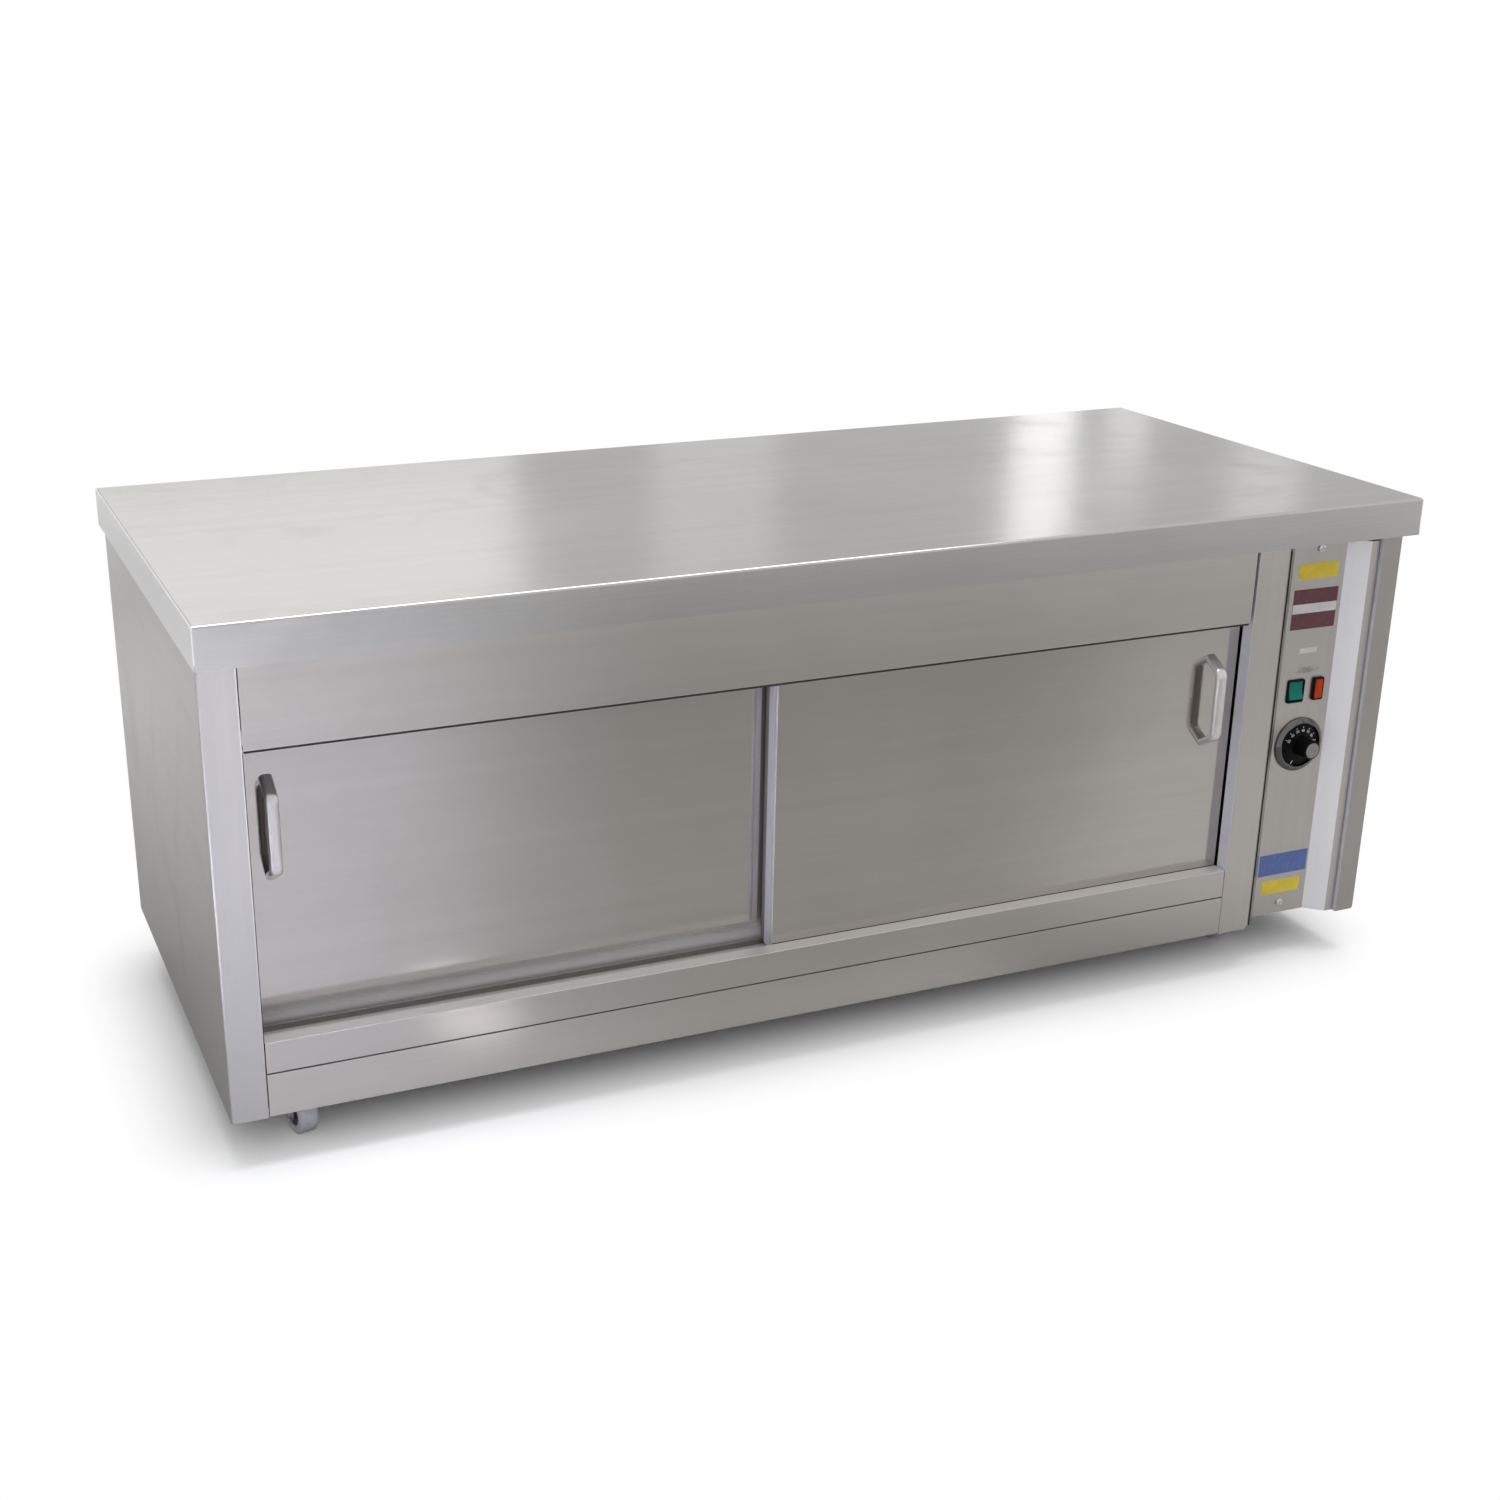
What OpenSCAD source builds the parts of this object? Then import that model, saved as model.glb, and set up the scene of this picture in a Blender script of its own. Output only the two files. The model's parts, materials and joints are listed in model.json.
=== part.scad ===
// Hot cupboard: a stainless steel heated cabinet with sliding doors, a worktop and castors.
// Millimetres. +X runs to the right along the worktop, +Y to the back, +Z up.
// The origin is on the floor under the middle of the worktop.

/* [Worktop] */
// Length of the worktop
top_w = 1500; // [1300:10:1800]
// Depth of the worktop from front to back
top_d = 645; // [600:5:760]
// Height of the worktop over the floor
top_h = 620; // [600:5:700]
// Depth of the turned-down edge
top_edge_h = 46; // [36:1:60]
// Width of the flange turned in under the edge
top_return = 30; // [26:1:40]
// Outside radius of the folded top edge
top_edge_r = 3; // [2:0.5:6]
// Width of each stiffening channel under the worktop
stiffener_w = 60; // [40:5:90]
// Number of stiffening channels
stiffener_n = 3; // [2:1:5]

/* [Sheet] */
// Thickness of the body sheet
sheet = 1.5; // [1.2:0.1:2]
// Thickness of the door skins
skin = 1.2; // [1:0.1:1.5]
// Outside radius of the folds at the front corners of the body
fold_r = 3; // [2.5:0.5:5]

/* [Body] */
// Distance of the body's front plane behind the worktop's front edge
front_overhang = 21; // [16:1:28]
// Distance of the body's back in front of the worktop's back edge
back_overhang = 21; // [18:1:28]
// Distance of each end of the body inside the end of the worktop
side_inset = 4; // [0:1:8]
// Height of the body's lower edge over the floor
body_bottom = 61; // [58:1:64]
// Width of the left front stile
left_stile_w = 40; // [30:1:60]
// Width of the right front stile
right_stile_w = 46; // [36:1:70]
// Depth of the returns folded back from the stiles
stile_return = 18; // [6:1:18]
// Width of the flange at the front of the right end panel
end_flange_w = 30; // [22:1:50]
// Depth of the return folded back from that flange
end_return = 9; // [5:1:14]
// Clear width of the control bay between the right stile and the end flange
bay_w = 141; // [136:1:180]
// Width of the flanges at the back and top of the end panels
body_flange = 20; // [16:1:24]
// Width and height of the cut at the lower corner of the right stile
stile_cut = [5, 19]; // [2:1:30]
// Width and height of the cut at the lower corner of the end flange
end_cut = [4, 4]; // [2:1:8]

/* [Front] */
// Height of the fascia above the doors
fascia_h = 95; // [80:1:120]
// Gap between the fascia and the right stile
fascia_gap = 4; // [2:0.5:8]
// Depth of the returns along the fascia and the plinth
strip_return = 14; // [8:1:15]
// Height of the sill's ledge over the floor
sill_h = 150; // [140:1:170]
// Height of the sill's front face
sill_face_h = 37; // [28:1:44]
// Depth of the ledge from its front to the door groove
ledge_d = 20; // [16:0.5:20]
// Gap under a door's lower edge in the groove
door_under = 2; // [1.5:0.5:12]
// Open joint at the ends of the fascia, the sill and the plinth strip
front_joint = 1.2; // [0.6:0.1:2]
// Distance of the plinth strip in front of the sill's face
plinth_proud = 0.5; // [0:0.1:2]

/* [Doors] */
// Distance of the front door's face behind the body's front plane
door_setback = 21; // [21:0.5:24]
// Thickness of a door
door_t = 23; // [20:0.5:28]
// Clear gap between the two doors
door_gap = 10; // [8:0.5:14]
// Distance that a door's outer edge reaches behind its stile
door_tuck = 9; // [4:1:16]
// Overlap of the two doors where they pass
door_lap = 27; // [15:1:60]
// Depth of the outer skin's edge
skin_depth = 7.5; // [5:0.5:9]
// Distance of the inner pan's edge inside the outer skin's edge
skin_seam = 0.4; // [0.2:0.1:0.6]
// Distance of a door's lower edge below the ledge
door_sink = 8.5; // [5:0.5:12]
// Distance of a door's upper edge above the fascia's lower edge
door_rise = 11; // [8:0.5:12]
// Travel of each door
door_travel = 560; // [300:5:562]

/* [Handles] */
// Length of a handle from foot to foot
handle_len = 120; // [110:1:160]
// Width of the handle bar
handle_bar_w = 14.5; // [8.5:0.5:16]
// Thickness of the handle bar
handle_bar_t = 9; // [6:0.5:10]
// Distance of the bar's outer face from the door
handle_reach = 28; // [24:1:40]
// Distance along the door that a splayed leg covers
handle_run = 14; // [10:1:26]
// Radius of the bends along the middle of the bar
handle_bend_r = 10; // [7:1:14]
// Place of the middle of the left handle as a share of the door's height
left_handle_share = 0.663; // [0.4:0.001:0.75]
// Place of the middle of the right handle as a share of the door's height
right_handle_share = 0.68; // [0.4:0.001:0.75]
// Distance of the left handle from the left door's outer edge
left_handle_inset = 41; // [30:1:60]
// Distance of the right handle from the right door's outer edge
right_handle_inset = 50; // [40:1:80]

/* [Track] */
// Height of the track's underside above the fascia's lower edge
track_rise = 15; // [14:0.5:20]
// Inside width of one track channel
channel_w = 24; // [23:0.5:26]
// Width of the lips that the rollers run on
lip_w = 7; // [6.5:0.1:8]
// Space above the rollers in a channel
channel_room = 3.2; // [2:0.1:6]
// Radius of a door roller
roller_r = 10; // [8:0.5:11]
// Width of a door roller
roller_w = 5; // [4:0.1:5.4]
// Radius of a roller's pin
pin_r = 2; // [1.5:0.1:3]
// Width of a hanger plate
hanger_w = 30; // [24:1:40]
// Thickness of a hanger plate
hanger_t = 3; // [2:0.1:4]
// Distance of each hanger from the end of its door
hanger_inset = 60; // [40:1:120]
// Depth that a hanger reaches into its door
hanger_drop = 20; // [12:1:40]
// Length of a track stop
stop_len = 12; // [8:1:24]

/* [Chamber] */
// Height of the chamber's ceiling above the fascia's lower edge
ceiling_rise = 3; // [1:0.5:10]
// Thickness of the mineral wool behind the chamber
back_wool = 38; // [25:1:60]
// Thickness of the mineral wool over the chamber
roof_wool = 60; // [30:1:72]
// Thickness of the mineral wool under the heater
base_wool = 25; // [15:1:28]
// Height of the shelf over the floor deck
shelf_up = 165; // [130:1:180]
// Depth of the shelf's turned-down front and back edges
shelf_lip = 25; // [18:1:40]
// Gap behind the shelf for warm air
shelf_back_gap = 30; // [15:1:60]
// Width of the shelf rails
rail_w = 18; // [12:1:30]
// Width of the ledges under the floor deck
deck_ledge = 12; // [8:1:20]
// Length and width of a warm air slot in the deck
deck_slot = [70, 8]; // [4:1:90]
// Number of slots along and across the deck
deck_slot_n = [8, 3]; // [2:1:10]

/* [Heater] */
// Outside diameter of the heating element
element_d = 8.5; // [6:0.5:10]
// Distance between passes of the element
pass_pitch = 110; // [80:1:130]
// Distance of the element's bends from the ends of the chamber
element_margin = 110; // [90:1:200]
// Height of the element's centre over its tray
element_up = 20; // [14:0.5:22]
// Length of the element's cold ends inside the control bay
cold_end = 24; // [10:1:40]

/* [Control panel] */
// Width of the control panel
panel_w = 132; // [130:1:134]
// Width of the recessed face
panel_flat_w = 80; // [78:1:84]
// Width of each splayed side
splay_w = 21; // [16:1:22]
// Depth of the recess
panel_recess = 20; // [12:1:22]
// Distance of the panel's front strips behind the body's front plane
panel_setback = 5; // [2:1:8]
// Gap over the panel
panel_top_gap = 10; // [4:1:16]
// Head radius of a panel screw
screw_head_r = 5; // [4:0.5:6]
// Distance of the panel screws from the ends of the panel
screw_inset = [15, 7]; // [6:1:20]

/* [Dial] */
// Height of the dial over the floor
dial_h = 299; // [260:1:320]
// Outside radius of the bright bezel
bezel_r = 36; // [33:0.5:38]
// Radius of the knob's numbered skirt
skirt_r = 28.5; // [24:0.5:29]
// Radius of the knob's grip
grip_r = 12; // [11.5:0.5:16]
// Height of the knob over the panel
knob_h = 29; // [22:1:34]
// Radius of the bright cap on the grip
cap_r = 10; // [7:0.5:10.5]
// Radius of the thermostat's spindle
spindle_r = 3; // [2.5:0.1:4]

/* [Switches] */
// Distance of the switch row above the dial
switch_up = 73; // [64:1:100]
// Width and height of the rocker's frame
rocker_frame = [25.7, 31]; // [22:0.1:34]
// Distance of the rocker to the left of the panel's middle
rocker_left = 14.5; // [14:0.5:18]
// Angle of the rocker key to each side
rocker_angle = 10; // [6:1:12]
// Width and height of the neon lamp's frame
neon_frame = [15.5, 30]; // [12:0.1:34]
// Distance of the neon lamp to the right of the panel's middle
neon_right = 19.5; // [16:0.5:24]

/* [Supply] */
// Radius of the cable gland's bore
gland_bore_r = 5; // [4:0.5:6]
// Outside radius of the gland's thread
gland_thread_r = 10; // [8:0.5:12]
// Height of the cable gland over the floor
gland_h = 130; // [110:1:200]

/* [Castors] */
// Radius of a castor wheel
wheel_r = 25; // [20:0.5:25]
// Width of a castor wheel
wheel_w = 22; // [18:1:26]
// Distance of the wheel's axle from the swivel axis
castor_trail = 20; // [14:1:22]
// Distance of the left swivel axes inside the left end of the door opening
castor_inset = 43; // [38:1:120]
// Distance of the right swivel axes inside the control bay's left wall
castor_bay = 32; // [32:1:60]
// Distance of the front swivel axes behind the body's front plane
castor_front = 85; // [70:1:120]
// Distance of the rear swivel axes in front of the chamber's back
castor_back = 36; // [34:1:100]
// Turn of each castor from straight ahead: front left, front right, back left, back right
castor_turns = [13, 193, 13, 13]; // [0:1:360]
// Side of the square castor plate
plate_w = 60; // [50:1:70]
// Distance between the bolts of a castor plate
bolt_pitch = 45; // [40:1:48]
// Radius of a castor bolt
bolt_r = 3; // [2.5:0.5:4]

/* [Hidden] */
$fn = 48;

// Colours
steel = "#b9b6b0";
bright = "#d8d8da";
zinc = "#a9abad";
black = "#1c1c1e";
wool = "#cdbb8e";
nylon = "#e6e4dc";
grey_rubber = "#9b9c9e";

// Clearances
// Extra length of a cutting shape past the face it cuts
overrun = 1;
// Gap left round pieces that lie loose against their neighbours
lay_gap = 0.3;
// Radial gap of a pin that turns in its hole
run_fit = 0.05;
// Radial gap of a screw or bolt in its hole
screw_fit = 0.2;
// Gap between a door and the sill or liner behind it
door_clear = 2;

// Main planes of the body
x_end_l = -top_w / 2 + side_inset;
x_end_r = top_w / 2 - side_inset;
y_front = -top_d / 2 + front_overhang;
y_back = top_d / 2 - back_overhang;
z_top = top_h - top_edge_h;
x_open_l = x_end_l + left_stile_w;
x_flange = x_end_r - end_flange_w;
x_part = x_flange - bay_w;
x_open_r = x_part - right_stile_w;
z_fascia = z_top - fascia_h;
y_back_in = y_back - 2 * sheet;

// Base pan: height of its plate, its turned-down edge and the flange in the control bay
pan_up = 9;
pan_edge = 6;
pan_flange = 24;
z_pan = body_bottom + pan_up;
z_pan_top = z_pan + sheet;

// Doors
door_w = (x_open_r - x_open_l + 2 * door_tuck + door_lap) / 2;
x_left_door = x_open_l - door_tuck;
x_right_door = x_open_r + door_tuck - door_w;
y_right_door = y_front + door_setback;
y_left_door = y_right_door + door_t + door_gap;
z_door = sill_h - door_sink;
z_door_top = z_fascia + door_rise;
left_handle_h = z_door + left_handle_share * (z_door_top - z_door);
right_handle_h = z_door + right_handle_share * (z_door_top - z_door);

// Sill: the groove runs behind the ledge, as far as the wall behind the rear door
z_groove = z_door - door_under - sheet;
x_front_l = x_open_l + front_joint;
x_front_r = x_open_r - front_joint;
y_sill_back = y_left_door + door_t + door_clear + sheet;
sill_ledge = 15;
guide_t = 4;
guide_under = 4;
z_plinth_top = sill_h - sill_face_h;
plinth_up = 1;
plinth_seam = 0.4;

// Track
z_lip = z_fascia + track_rise;
z_lip_top = z_lip + sheet;
z_pin = z_lip_top + lay_gap + roller_r;
z_track_roof = z_pin + roller_r + channel_room;
y_right_track = y_right_door + door_t / 2;
y_left_track = y_left_door + door_t / 2;
y_track_front = y_right_track - channel_w / 2 - sheet;
y_track_back = y_left_track + channel_w / 2 + sheet;
pin_short = 0.5;
stop_gap = 1;
stop_h = 18;
stop_side_gap = 0.5;
hanger_foot = 3;
hanger_over = 7;

// Chamber
y_liner_back = y_back_in - back_wool - sheet;
z_ceiling = z_fascia + ceiling_rise;
x_in_l = x_open_l + sheet;
x_in_r = x_open_r - sheet;
y_in = y_sill_back;
deck_side_gap = 1;
z_shelf = sill_h + shelf_up;
shelf_front_gap = 15;
shelf_end_gap = 2;
rail_drop = 22;

// Heater: four passes, the first and last of which run out into the control bay
z_tray = z_pan_top + base_wool + lay_gap;
z_element = z_tray + sheet + element_up;
pass_shares = [-1.5, -0.5, 0.5, 1.5];
y_element = (y_in + y_liner_back) / 2;
x_bend_l = x_open_l + element_margin;
x_bend_r = x_open_r - element_margin;
support_t = 2;
support_past = 20;
support_shares = [0.05, 0.5, 0.95];
hole_room = 2.5;

// Control panel
panel_gap = 0.5;
panel_end_gap = 1.5;
panel_lift = 1;
x_panel = x_part + panel_gap;
x_panel_mid = x_panel + panel_w / 2;
y_panel_strip = y_front + panel_setback;
y_panel = y_panel_strip + panel_recess;
y_panel_back = y_panel + sheet;
z_panel = body_bottom + panel_lift;
z_panel_top = z_top - panel_top_gap;
panel_strip = (panel_w - panel_flat_w) / 2 - splay_w;
z_screws = [z_panel + screw_inset[0], z_panel_top - screw_inset[1]];
screw_r = 2;
screw_head_h = 3;
screw_len = 9;
header_h = 40;
header_leg = 20;

// Dial and thermostat
bezel_h = 6;
bezel_lip = 2.2;
bezel_in_gap = 0.7;
skirt_up = 1;
skirt_h = 3;
skirt_crown = 1.5;
grip_draft = 1;
cap_t = 1.2;
cap_sink = 0.6;
cap_fit = 0.05;
thermo_size = [34, 36, 40];
spindle_in = 12;
spindle_out = 20;
spindle_hole_gap = 2;
bulb_r = 3.5;
bulb_len = 120;
bulb_off = 10;
bulb_end_gap = 150;
capillary_r = 1.2;
capillary_hole_r = 4;
clip_w = 6;
clip_h = 10;
clip_shares = [0.2, 0.8];

// Rocker and neon
switch_h = dial_h + switch_up;
frame_t = 2.5;
neon_frame_t = 4;
switch_body_in = 1.8;
rocker_body_d = 20;
rocker_wall = 2.5;
rocker_gap = 0.3;
rocker_pivot_in = 3;
rocker_face = 4;
rocker_behind = 3;
rocker_well = 9;
rocker_pin_r = 1.5;
rocker_pin_out = 1.2;
cutout_gap = 0.2;
neon_body_d = 18;
neon_wall = 2.2;
neon_lens_in = 6;
neon_lens_out = 0.4;
neon_fit = 0.1;

// Supply
terminal_size = [50, 26, 22];
terminal_hole_r = 2.5;
terminal_n = 4;
terminal_at_shares = [0.3, 0.7];
gland_head_r = 14;
gland_head_len = 15;
gland_in = 14;
gland_nut_h = 5;
gland_nut_r = 14;
gland_share = 0.55;
vent_size = [60, 5];
vent_pitch = 16;
vent_n = 6;
vent_h = 380;

// Castors
plate_t = 3;
race_r = 15;
race_h = 5;
king_r = 4;
king_short = 0.5;
crown_r = 13;
crown_h = 4;
crown_gap = 0.3;
fork_t = 2;
fork_gap = 1;
axle_r = 3;
axle_head_r = 5;
axle_head_h = 3;
fork_eye_r = 8;
hub_r = 15;
hub_recess = 4;
hub_boss_r = 7;
tread_r = 4;
bolt_head_r = 5;
bolt_head_h = 4;
bolt_nut_h = 5;
bolt_past = 2;
wool_pocket = 3;
z_race = z_pan - plate_t - race_h;
z_crown = z_race - crown_gap - crown_h;
y_castor_f = y_front + castor_front;
y_castor_b = y_liner_back - castor_back;
x_castor_l = x_open_l + castor_inset;
x_castor_r = x_part + castor_bay;
castors = [
    [x_castor_l, y_castor_f], [x_castor_r, y_castor_f],
    [x_castor_l, y_castor_b], [x_castor_r, y_castor_b]
];

// A box from its lowest corner to its highest
module box(low, high) {
    translate(low) cube(high - low);
}

// Turns a drawing of outward and up into a bar along X, standing out towards the front
module sideways(w) {
    rotate([90, 0, -90]) linear_extrude(w, center = true) children();
}

// A round bar along +X, a round bar along -Y, starting at a point
module along_x(p, r, len) {
    translate(p) rotate([0, 90, 0]) cylinder(r = r, h = len);
}
module outward(p, r, len) {
    translate(p) rotate([90, 0, 0]) cylinder(r = r, h = len);
}

// Plan of a sheet folded round a front corner: arms of width w and depth d from the origin
module folded_corner(w, d) {
    translate([fold_r, 0]) square([w - fold_r, sheet]);
    translate([0, fold_r]) square([sheet, d - fold_r]);
    translate([fold_r, fold_r]) intersection() {
        difference() {
            circle(fold_r);
            circle(fold_r - sheet);
        }
        translate([-fold_r, -fold_r]) square(fold_r);
    }
}

// A corner cut from the lower right of a front sheet whose corner is at x, z
module lower_cut(x, z, size) {
    translate([x, y_front + fold_r + overrun, z])
        rotate([90, 0, 0])
            linear_extrude(fold_r + 2 * overrun)
                polygon([
                    [-size[0], -overrun], [overrun, -overrun],
                    [overrun, size[1]], [0, size[1]], [-size[0], 0]
                ]);
}

// Profile of the worktop across one direction, with its two top edges rounded
module rolled_edge(w) {
    square([w, top_edge_h - top_edge_r]);
    translate([top_edge_r, 0]) square([w - 2 * top_edge_r, top_edge_h]);
    for (x = [top_edge_r, w - top_edge_r])
        translate([x, top_edge_h - top_edge_r]) circle(top_edge_r);
}

module worktop() color(steel)
    difference() {
        intersection() {
            translate([-top_w / 2, -top_d / 2, z_top])
                rotate([90, 0, 90]) linear_extrude(top_w) rolled_edge(top_d);
            translate([-top_w / 2, top_d / 2, z_top])
                rotate([90, 0, 0]) linear_extrude(top_d) rolled_edge(top_w);
        }
        box(
            [-top_w / 2 + sheet, -top_d / 2 + sheet, z_top + sheet],
            [top_w / 2 - sheet, top_d / 2 - sheet, top_h - sheet]
        );
        box(
            [-top_w / 2 + top_return, -top_d / 2 + top_return, z_top - overrun],
            [top_w / 2 - top_return, top_d / 2 - top_return, z_top + sheet + overrun]
        );
    }

// Channels from front to back that rest on the flanges and carry the top sheet
module worktop_stiffeners() color(zinc)
    for (i = [1:stiffener_n]) {
        x = -top_w / 2 + top_w * i / (stiffener_n + 1);
        y = top_d / 2 - sheet - lay_gap;
        difference() {
            box(
                [x - stiffener_w / 2, -y, z_top + sheet],
                [x + stiffener_w / 2, y, top_h - sheet]
            );
            box(
                [x - stiffener_w / 2 + sheet, -y - overrun, z_top + sheet - overrun],
                [x + stiffener_w / 2 - sheet, y + overrun, top_h - 2 * sheet]
            );
        }
    }

module left_side_panel() color(steel) {
    translate([x_end_l, y_front, body_bottom])
        linear_extrude(z_top - body_bottom) folded_corner(left_stile_w, y_back - y_front);
    box([x_open_l - sheet, y_front, z_pan_top], [x_open_l, y_front + stile_return, z_top]);
    box([x_end_l, y_back - sheet, body_bottom], [x_end_l + body_flange, y_back, z_top]);
    box(
        [x_end_l, y_front + fold_r, z_top - sheet],
        [x_end_l + body_flange, y_back_in, z_top]
    );
}

module right_end_panel() color(steel)
    difference() {
        union() {
            translate([x_end_r, y_front, body_bottom])
                mirror([1, 0, 0])
                    linear_extrude(z_top - body_bottom) folded_corner(end_flange_w, y_back - y_front);
            box([x_flange, y_front, body_bottom], [x_flange + sheet, y_front + end_return, z_top]);
            box([x_end_r - body_flange, y_back - sheet, body_bottom], [x_end_r, y_back, z_top]);
            box(
                [x_end_r - body_flange, y_front + fold_r, z_top - sheet],
                [x_end_r, y_back_in, z_top]
            );
        }
        lower_cut(x_end_r, body_bottom, end_cut);
    }

// Holes through the partition, the wool and the liner for the element's ends and the capillary
module bay_holes(x, len) {
    for (s = [pass_shares[0], pass_shares[3]])
        along_x(
            [x - overrun, y_element + s * pass_pitch, z_element],
            element_d / 2 + hole_room, len + 2 * overrun
        );
    along_x([x - overrun, y_liner_back - bulb_off, dial_h], capillary_hole_r, len + 2 * overrun);
}

// Right stile and the wall behind it
module bay_partition() color(steel)
    difference() {
        union() {
            translate([x_part, y_front, body_bottom])
                mirror([1, 0, 0])
                    linear_extrude(z_top - body_bottom) folded_corner(right_stile_w, y_back_in - y_front);
            box([x_open_r, y_front, z_pan_top], [x_open_r + sheet, y_front + stile_return, z_top]);
        }
        box(
            [x_part - sheet - overrun, y_front + sheet, body_bottom - overrun],
            [x_part + overrun, y_back, z_pan_top]
        );
        lower_cut(x_part, body_bottom, stile_cut);
        bay_holes(x_part - sheet, sheet);
    }

module bay_header() color(zinc)
    difference() {
        union() {
            box(
                [x_part, y_panel_back, z_top - header_h],
                [x_end_r - sheet, y_panel_back + sheet, z_top - sheet - lay_gap]
            );
            box(
                [x_part, y_panel_back, z_top - header_h],
                [x_end_r - sheet, y_panel_back + header_leg, z_top - header_h + sheet]
            );
        }
        screw_holes();
    }

module back_panel() color(steel)
    difference() {
        box(
            [x_end_l + sheet, y_back_in, body_bottom + pan_up - pan_edge],
            [x_end_r - sheet, y_back - sheet, z_top]
        );
        outward(
            [gland_x(), y_back, gland_h],
            gland_thread_r + screw_fit, 2 * sheet + overrun
        );
        for (i = [0:vent_n - 1])
            box(
                [gland_x() - vent_size[0] / 2, y_back_in - overrun, vent_h + i * vent_pitch],
                [gland_x() + vent_size[0] / 2, y_back, vent_h + i * vent_pitch + vent_size[1]]
            );
    }

// The plate that the castors carry, with a flange for the foot of the control panel
module base_pan() color(zinc)
    difference() {
        union() {
            difference() {
                box(
                    [x_end_l + sheet, y_front + fold_r, z_pan - pan_edge],
                    [x_end_r - sheet, y_back_in, z_pan_top]
                );
                box(
                    [x_end_l + 2 * sheet, y_front + fold_r + sheet, z_pan - pan_edge - overrun],
                    [x_end_r - 2 * sheet, y_back_in - sheet, z_pan]
                );
                box(
                    [x_part, y_front, z_pan - pan_edge - overrun],
                    [x_end_r, y_panel_back, z_pan_top + overrun]
                );
            }
            box(
                [x_part, y_panel_back, z_pan - pan_edge],
                [x_end_r - sheet, y_panel_back + sheet, z_pan_top + pan_flange]
            );
        }
        screw_holes();
        for (c = castors) plate_holes(c);
    }

module front_fascia() color(steel) {
    x_r = x_open_r - fascia_gap;
    box([x_front_l, y_front, z_fascia], [x_r, y_front + sheet, z_top]);
    for (z = [z_fascia, z_top - sheet])
        box([x_front_l, y_front, z], [x_r, y_front + strip_return, z + sheet]);
}

module sill_channel() color(steel) {
    y_lip = y_front + ledge_d;
    y_guide = y_right_door + door_t + door_gap / 2;
    box([x_front_l, y_front, z_plinth_top + plinth_seam], [x_front_r, y_front + sheet, sill_h]);
    box([x_front_l, y_front, sill_h - sheet], [x_front_r, y_lip, sill_h]);
    box([x_front_l, y_lip - sheet, z_groove], [x_front_r, y_lip, sill_h]);
    box([x_front_l, y_lip - sheet, z_groove], [x_front_r, y_sill_back, z_groove + sheet]);
    box([x_front_l, y_sill_back - sheet, z_groove], [x_front_r, y_sill_back, sill_h - sheet]);
    box(
        [x_in_l + lay_gap, y_sill_back - sheet, sill_h - 2 * sheet],
        [x_in_r - lay_gap, y_sill_back + sill_ledge, sill_h - sheet]
    );
    box(
        [x_front_l, y_guide - guide_t / 2, z_groove],
        [x_front_r, y_guide + guide_t / 2, sill_h - guide_under]
    );
}

module plinth_strip() color(steel) {
    y = y_front - plinth_proud;
    z = body_bottom + plinth_up;
    box([x_front_l, y, z], [x_front_r, y + sheet, z_plinth_top]);
    for (z_return = [z, z_plinth_top - sheet])
        box([x_front_l, y, z_return], [x_front_r, y + strip_return, z_return + sheet]);
}

// Two channels side by side under one roof, each with a slot between its lips
module top_track() color(zinc)
    difference() {
        box(
            [x_end_l + sheet, y_track_front, z_lip],
            [x_part - sheet, y_track_back, z_track_roof + sheet]
        );
        for (y = [y_right_track, y_left_track]) {
            box(
                [x_end_l, y - channel_w / 2, z_lip_top],
                [x_part, y + channel_w / 2, z_track_roof]
            );
            box(
                [x_end_l, y - channel_w / 2 + lip_w, z_lip - overrun],
                [x_part, y + channel_w / 2 - lip_w, z_lip_top + overrun]
            );
        }
        box(
            [x_end_l, y_right_track + channel_w / 2 + sheet, z_lip - overrun],
            [x_part, y_left_track - channel_w / 2 - sheet, z_track_roof]
        );
    }

function hangers(x_door) = [x_door + hanger_inset, x_door + door_w - hanger_inset];

// Rubber blocks in the channels, just clear of the hangers at both ends of a door's travel
module track_stops() color(black) {
    reach = hanger_w / 2 + stop_gap;
    right = hangers(x_right_door);
    left = hangers(x_left_door);
    for (place = [
        [right[1] + reach, y_right_track],
        [right[0] - door_travel - reach - stop_len, y_right_track],
        [left[0] - reach - stop_len, y_left_track],
        [left[1] + door_travel + reach, y_left_track]
    ])
        box(
            [place[0], place[1] - channel_w / 2 + stop_side_gap, z_lip_top],
            [place[0] + stop_len, place[1] + channel_w / 2 - stop_side_gap, z_lip_top + stop_h]
        );
}

module liner_ends() color(steel) {
    y_ledge = y_sill_back + sill_ledge + lay_gap;
    z_ledge = sill_h - 2 * sheet;
    box([x_open_l, y_in, z_pan_top], [x_in_l, y_liner_back, z_ceiling]);
    box([x_open_l, y_ledge, z_ledge], [x_in_l + deck_ledge, y_liner_back, z_ledge + sheet]);
    difference() {
        union() {
            box([x_in_r, y_in, z_pan_top], [x_open_r, y_liner_back, z_ceiling]);
            box([x_in_r - deck_ledge, y_ledge, z_ledge], [x_open_r, y_liner_back, z_ledge + sheet]);
        }
        bay_holes(x_in_r, sheet);
    }
}

module liner_back() color(steel) {
    box([x_open_l, y_liner_back, z_pan_top], [x_open_r, y_liner_back + sheet, z_ceiling]);
    box(
        [x_in_l + deck_ledge + lay_gap, y_liner_back - deck_ledge, sill_h - 2 * sheet],
        [x_in_r - deck_ledge - lay_gap, y_liner_back, sill_h - sheet]
    );
}

module liner_ceiling() color(steel)
    box([x_open_l, y_track_back, z_ceiling], [x_open_r, y_liner_back + sheet, z_ceiling + sheet]);

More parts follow.
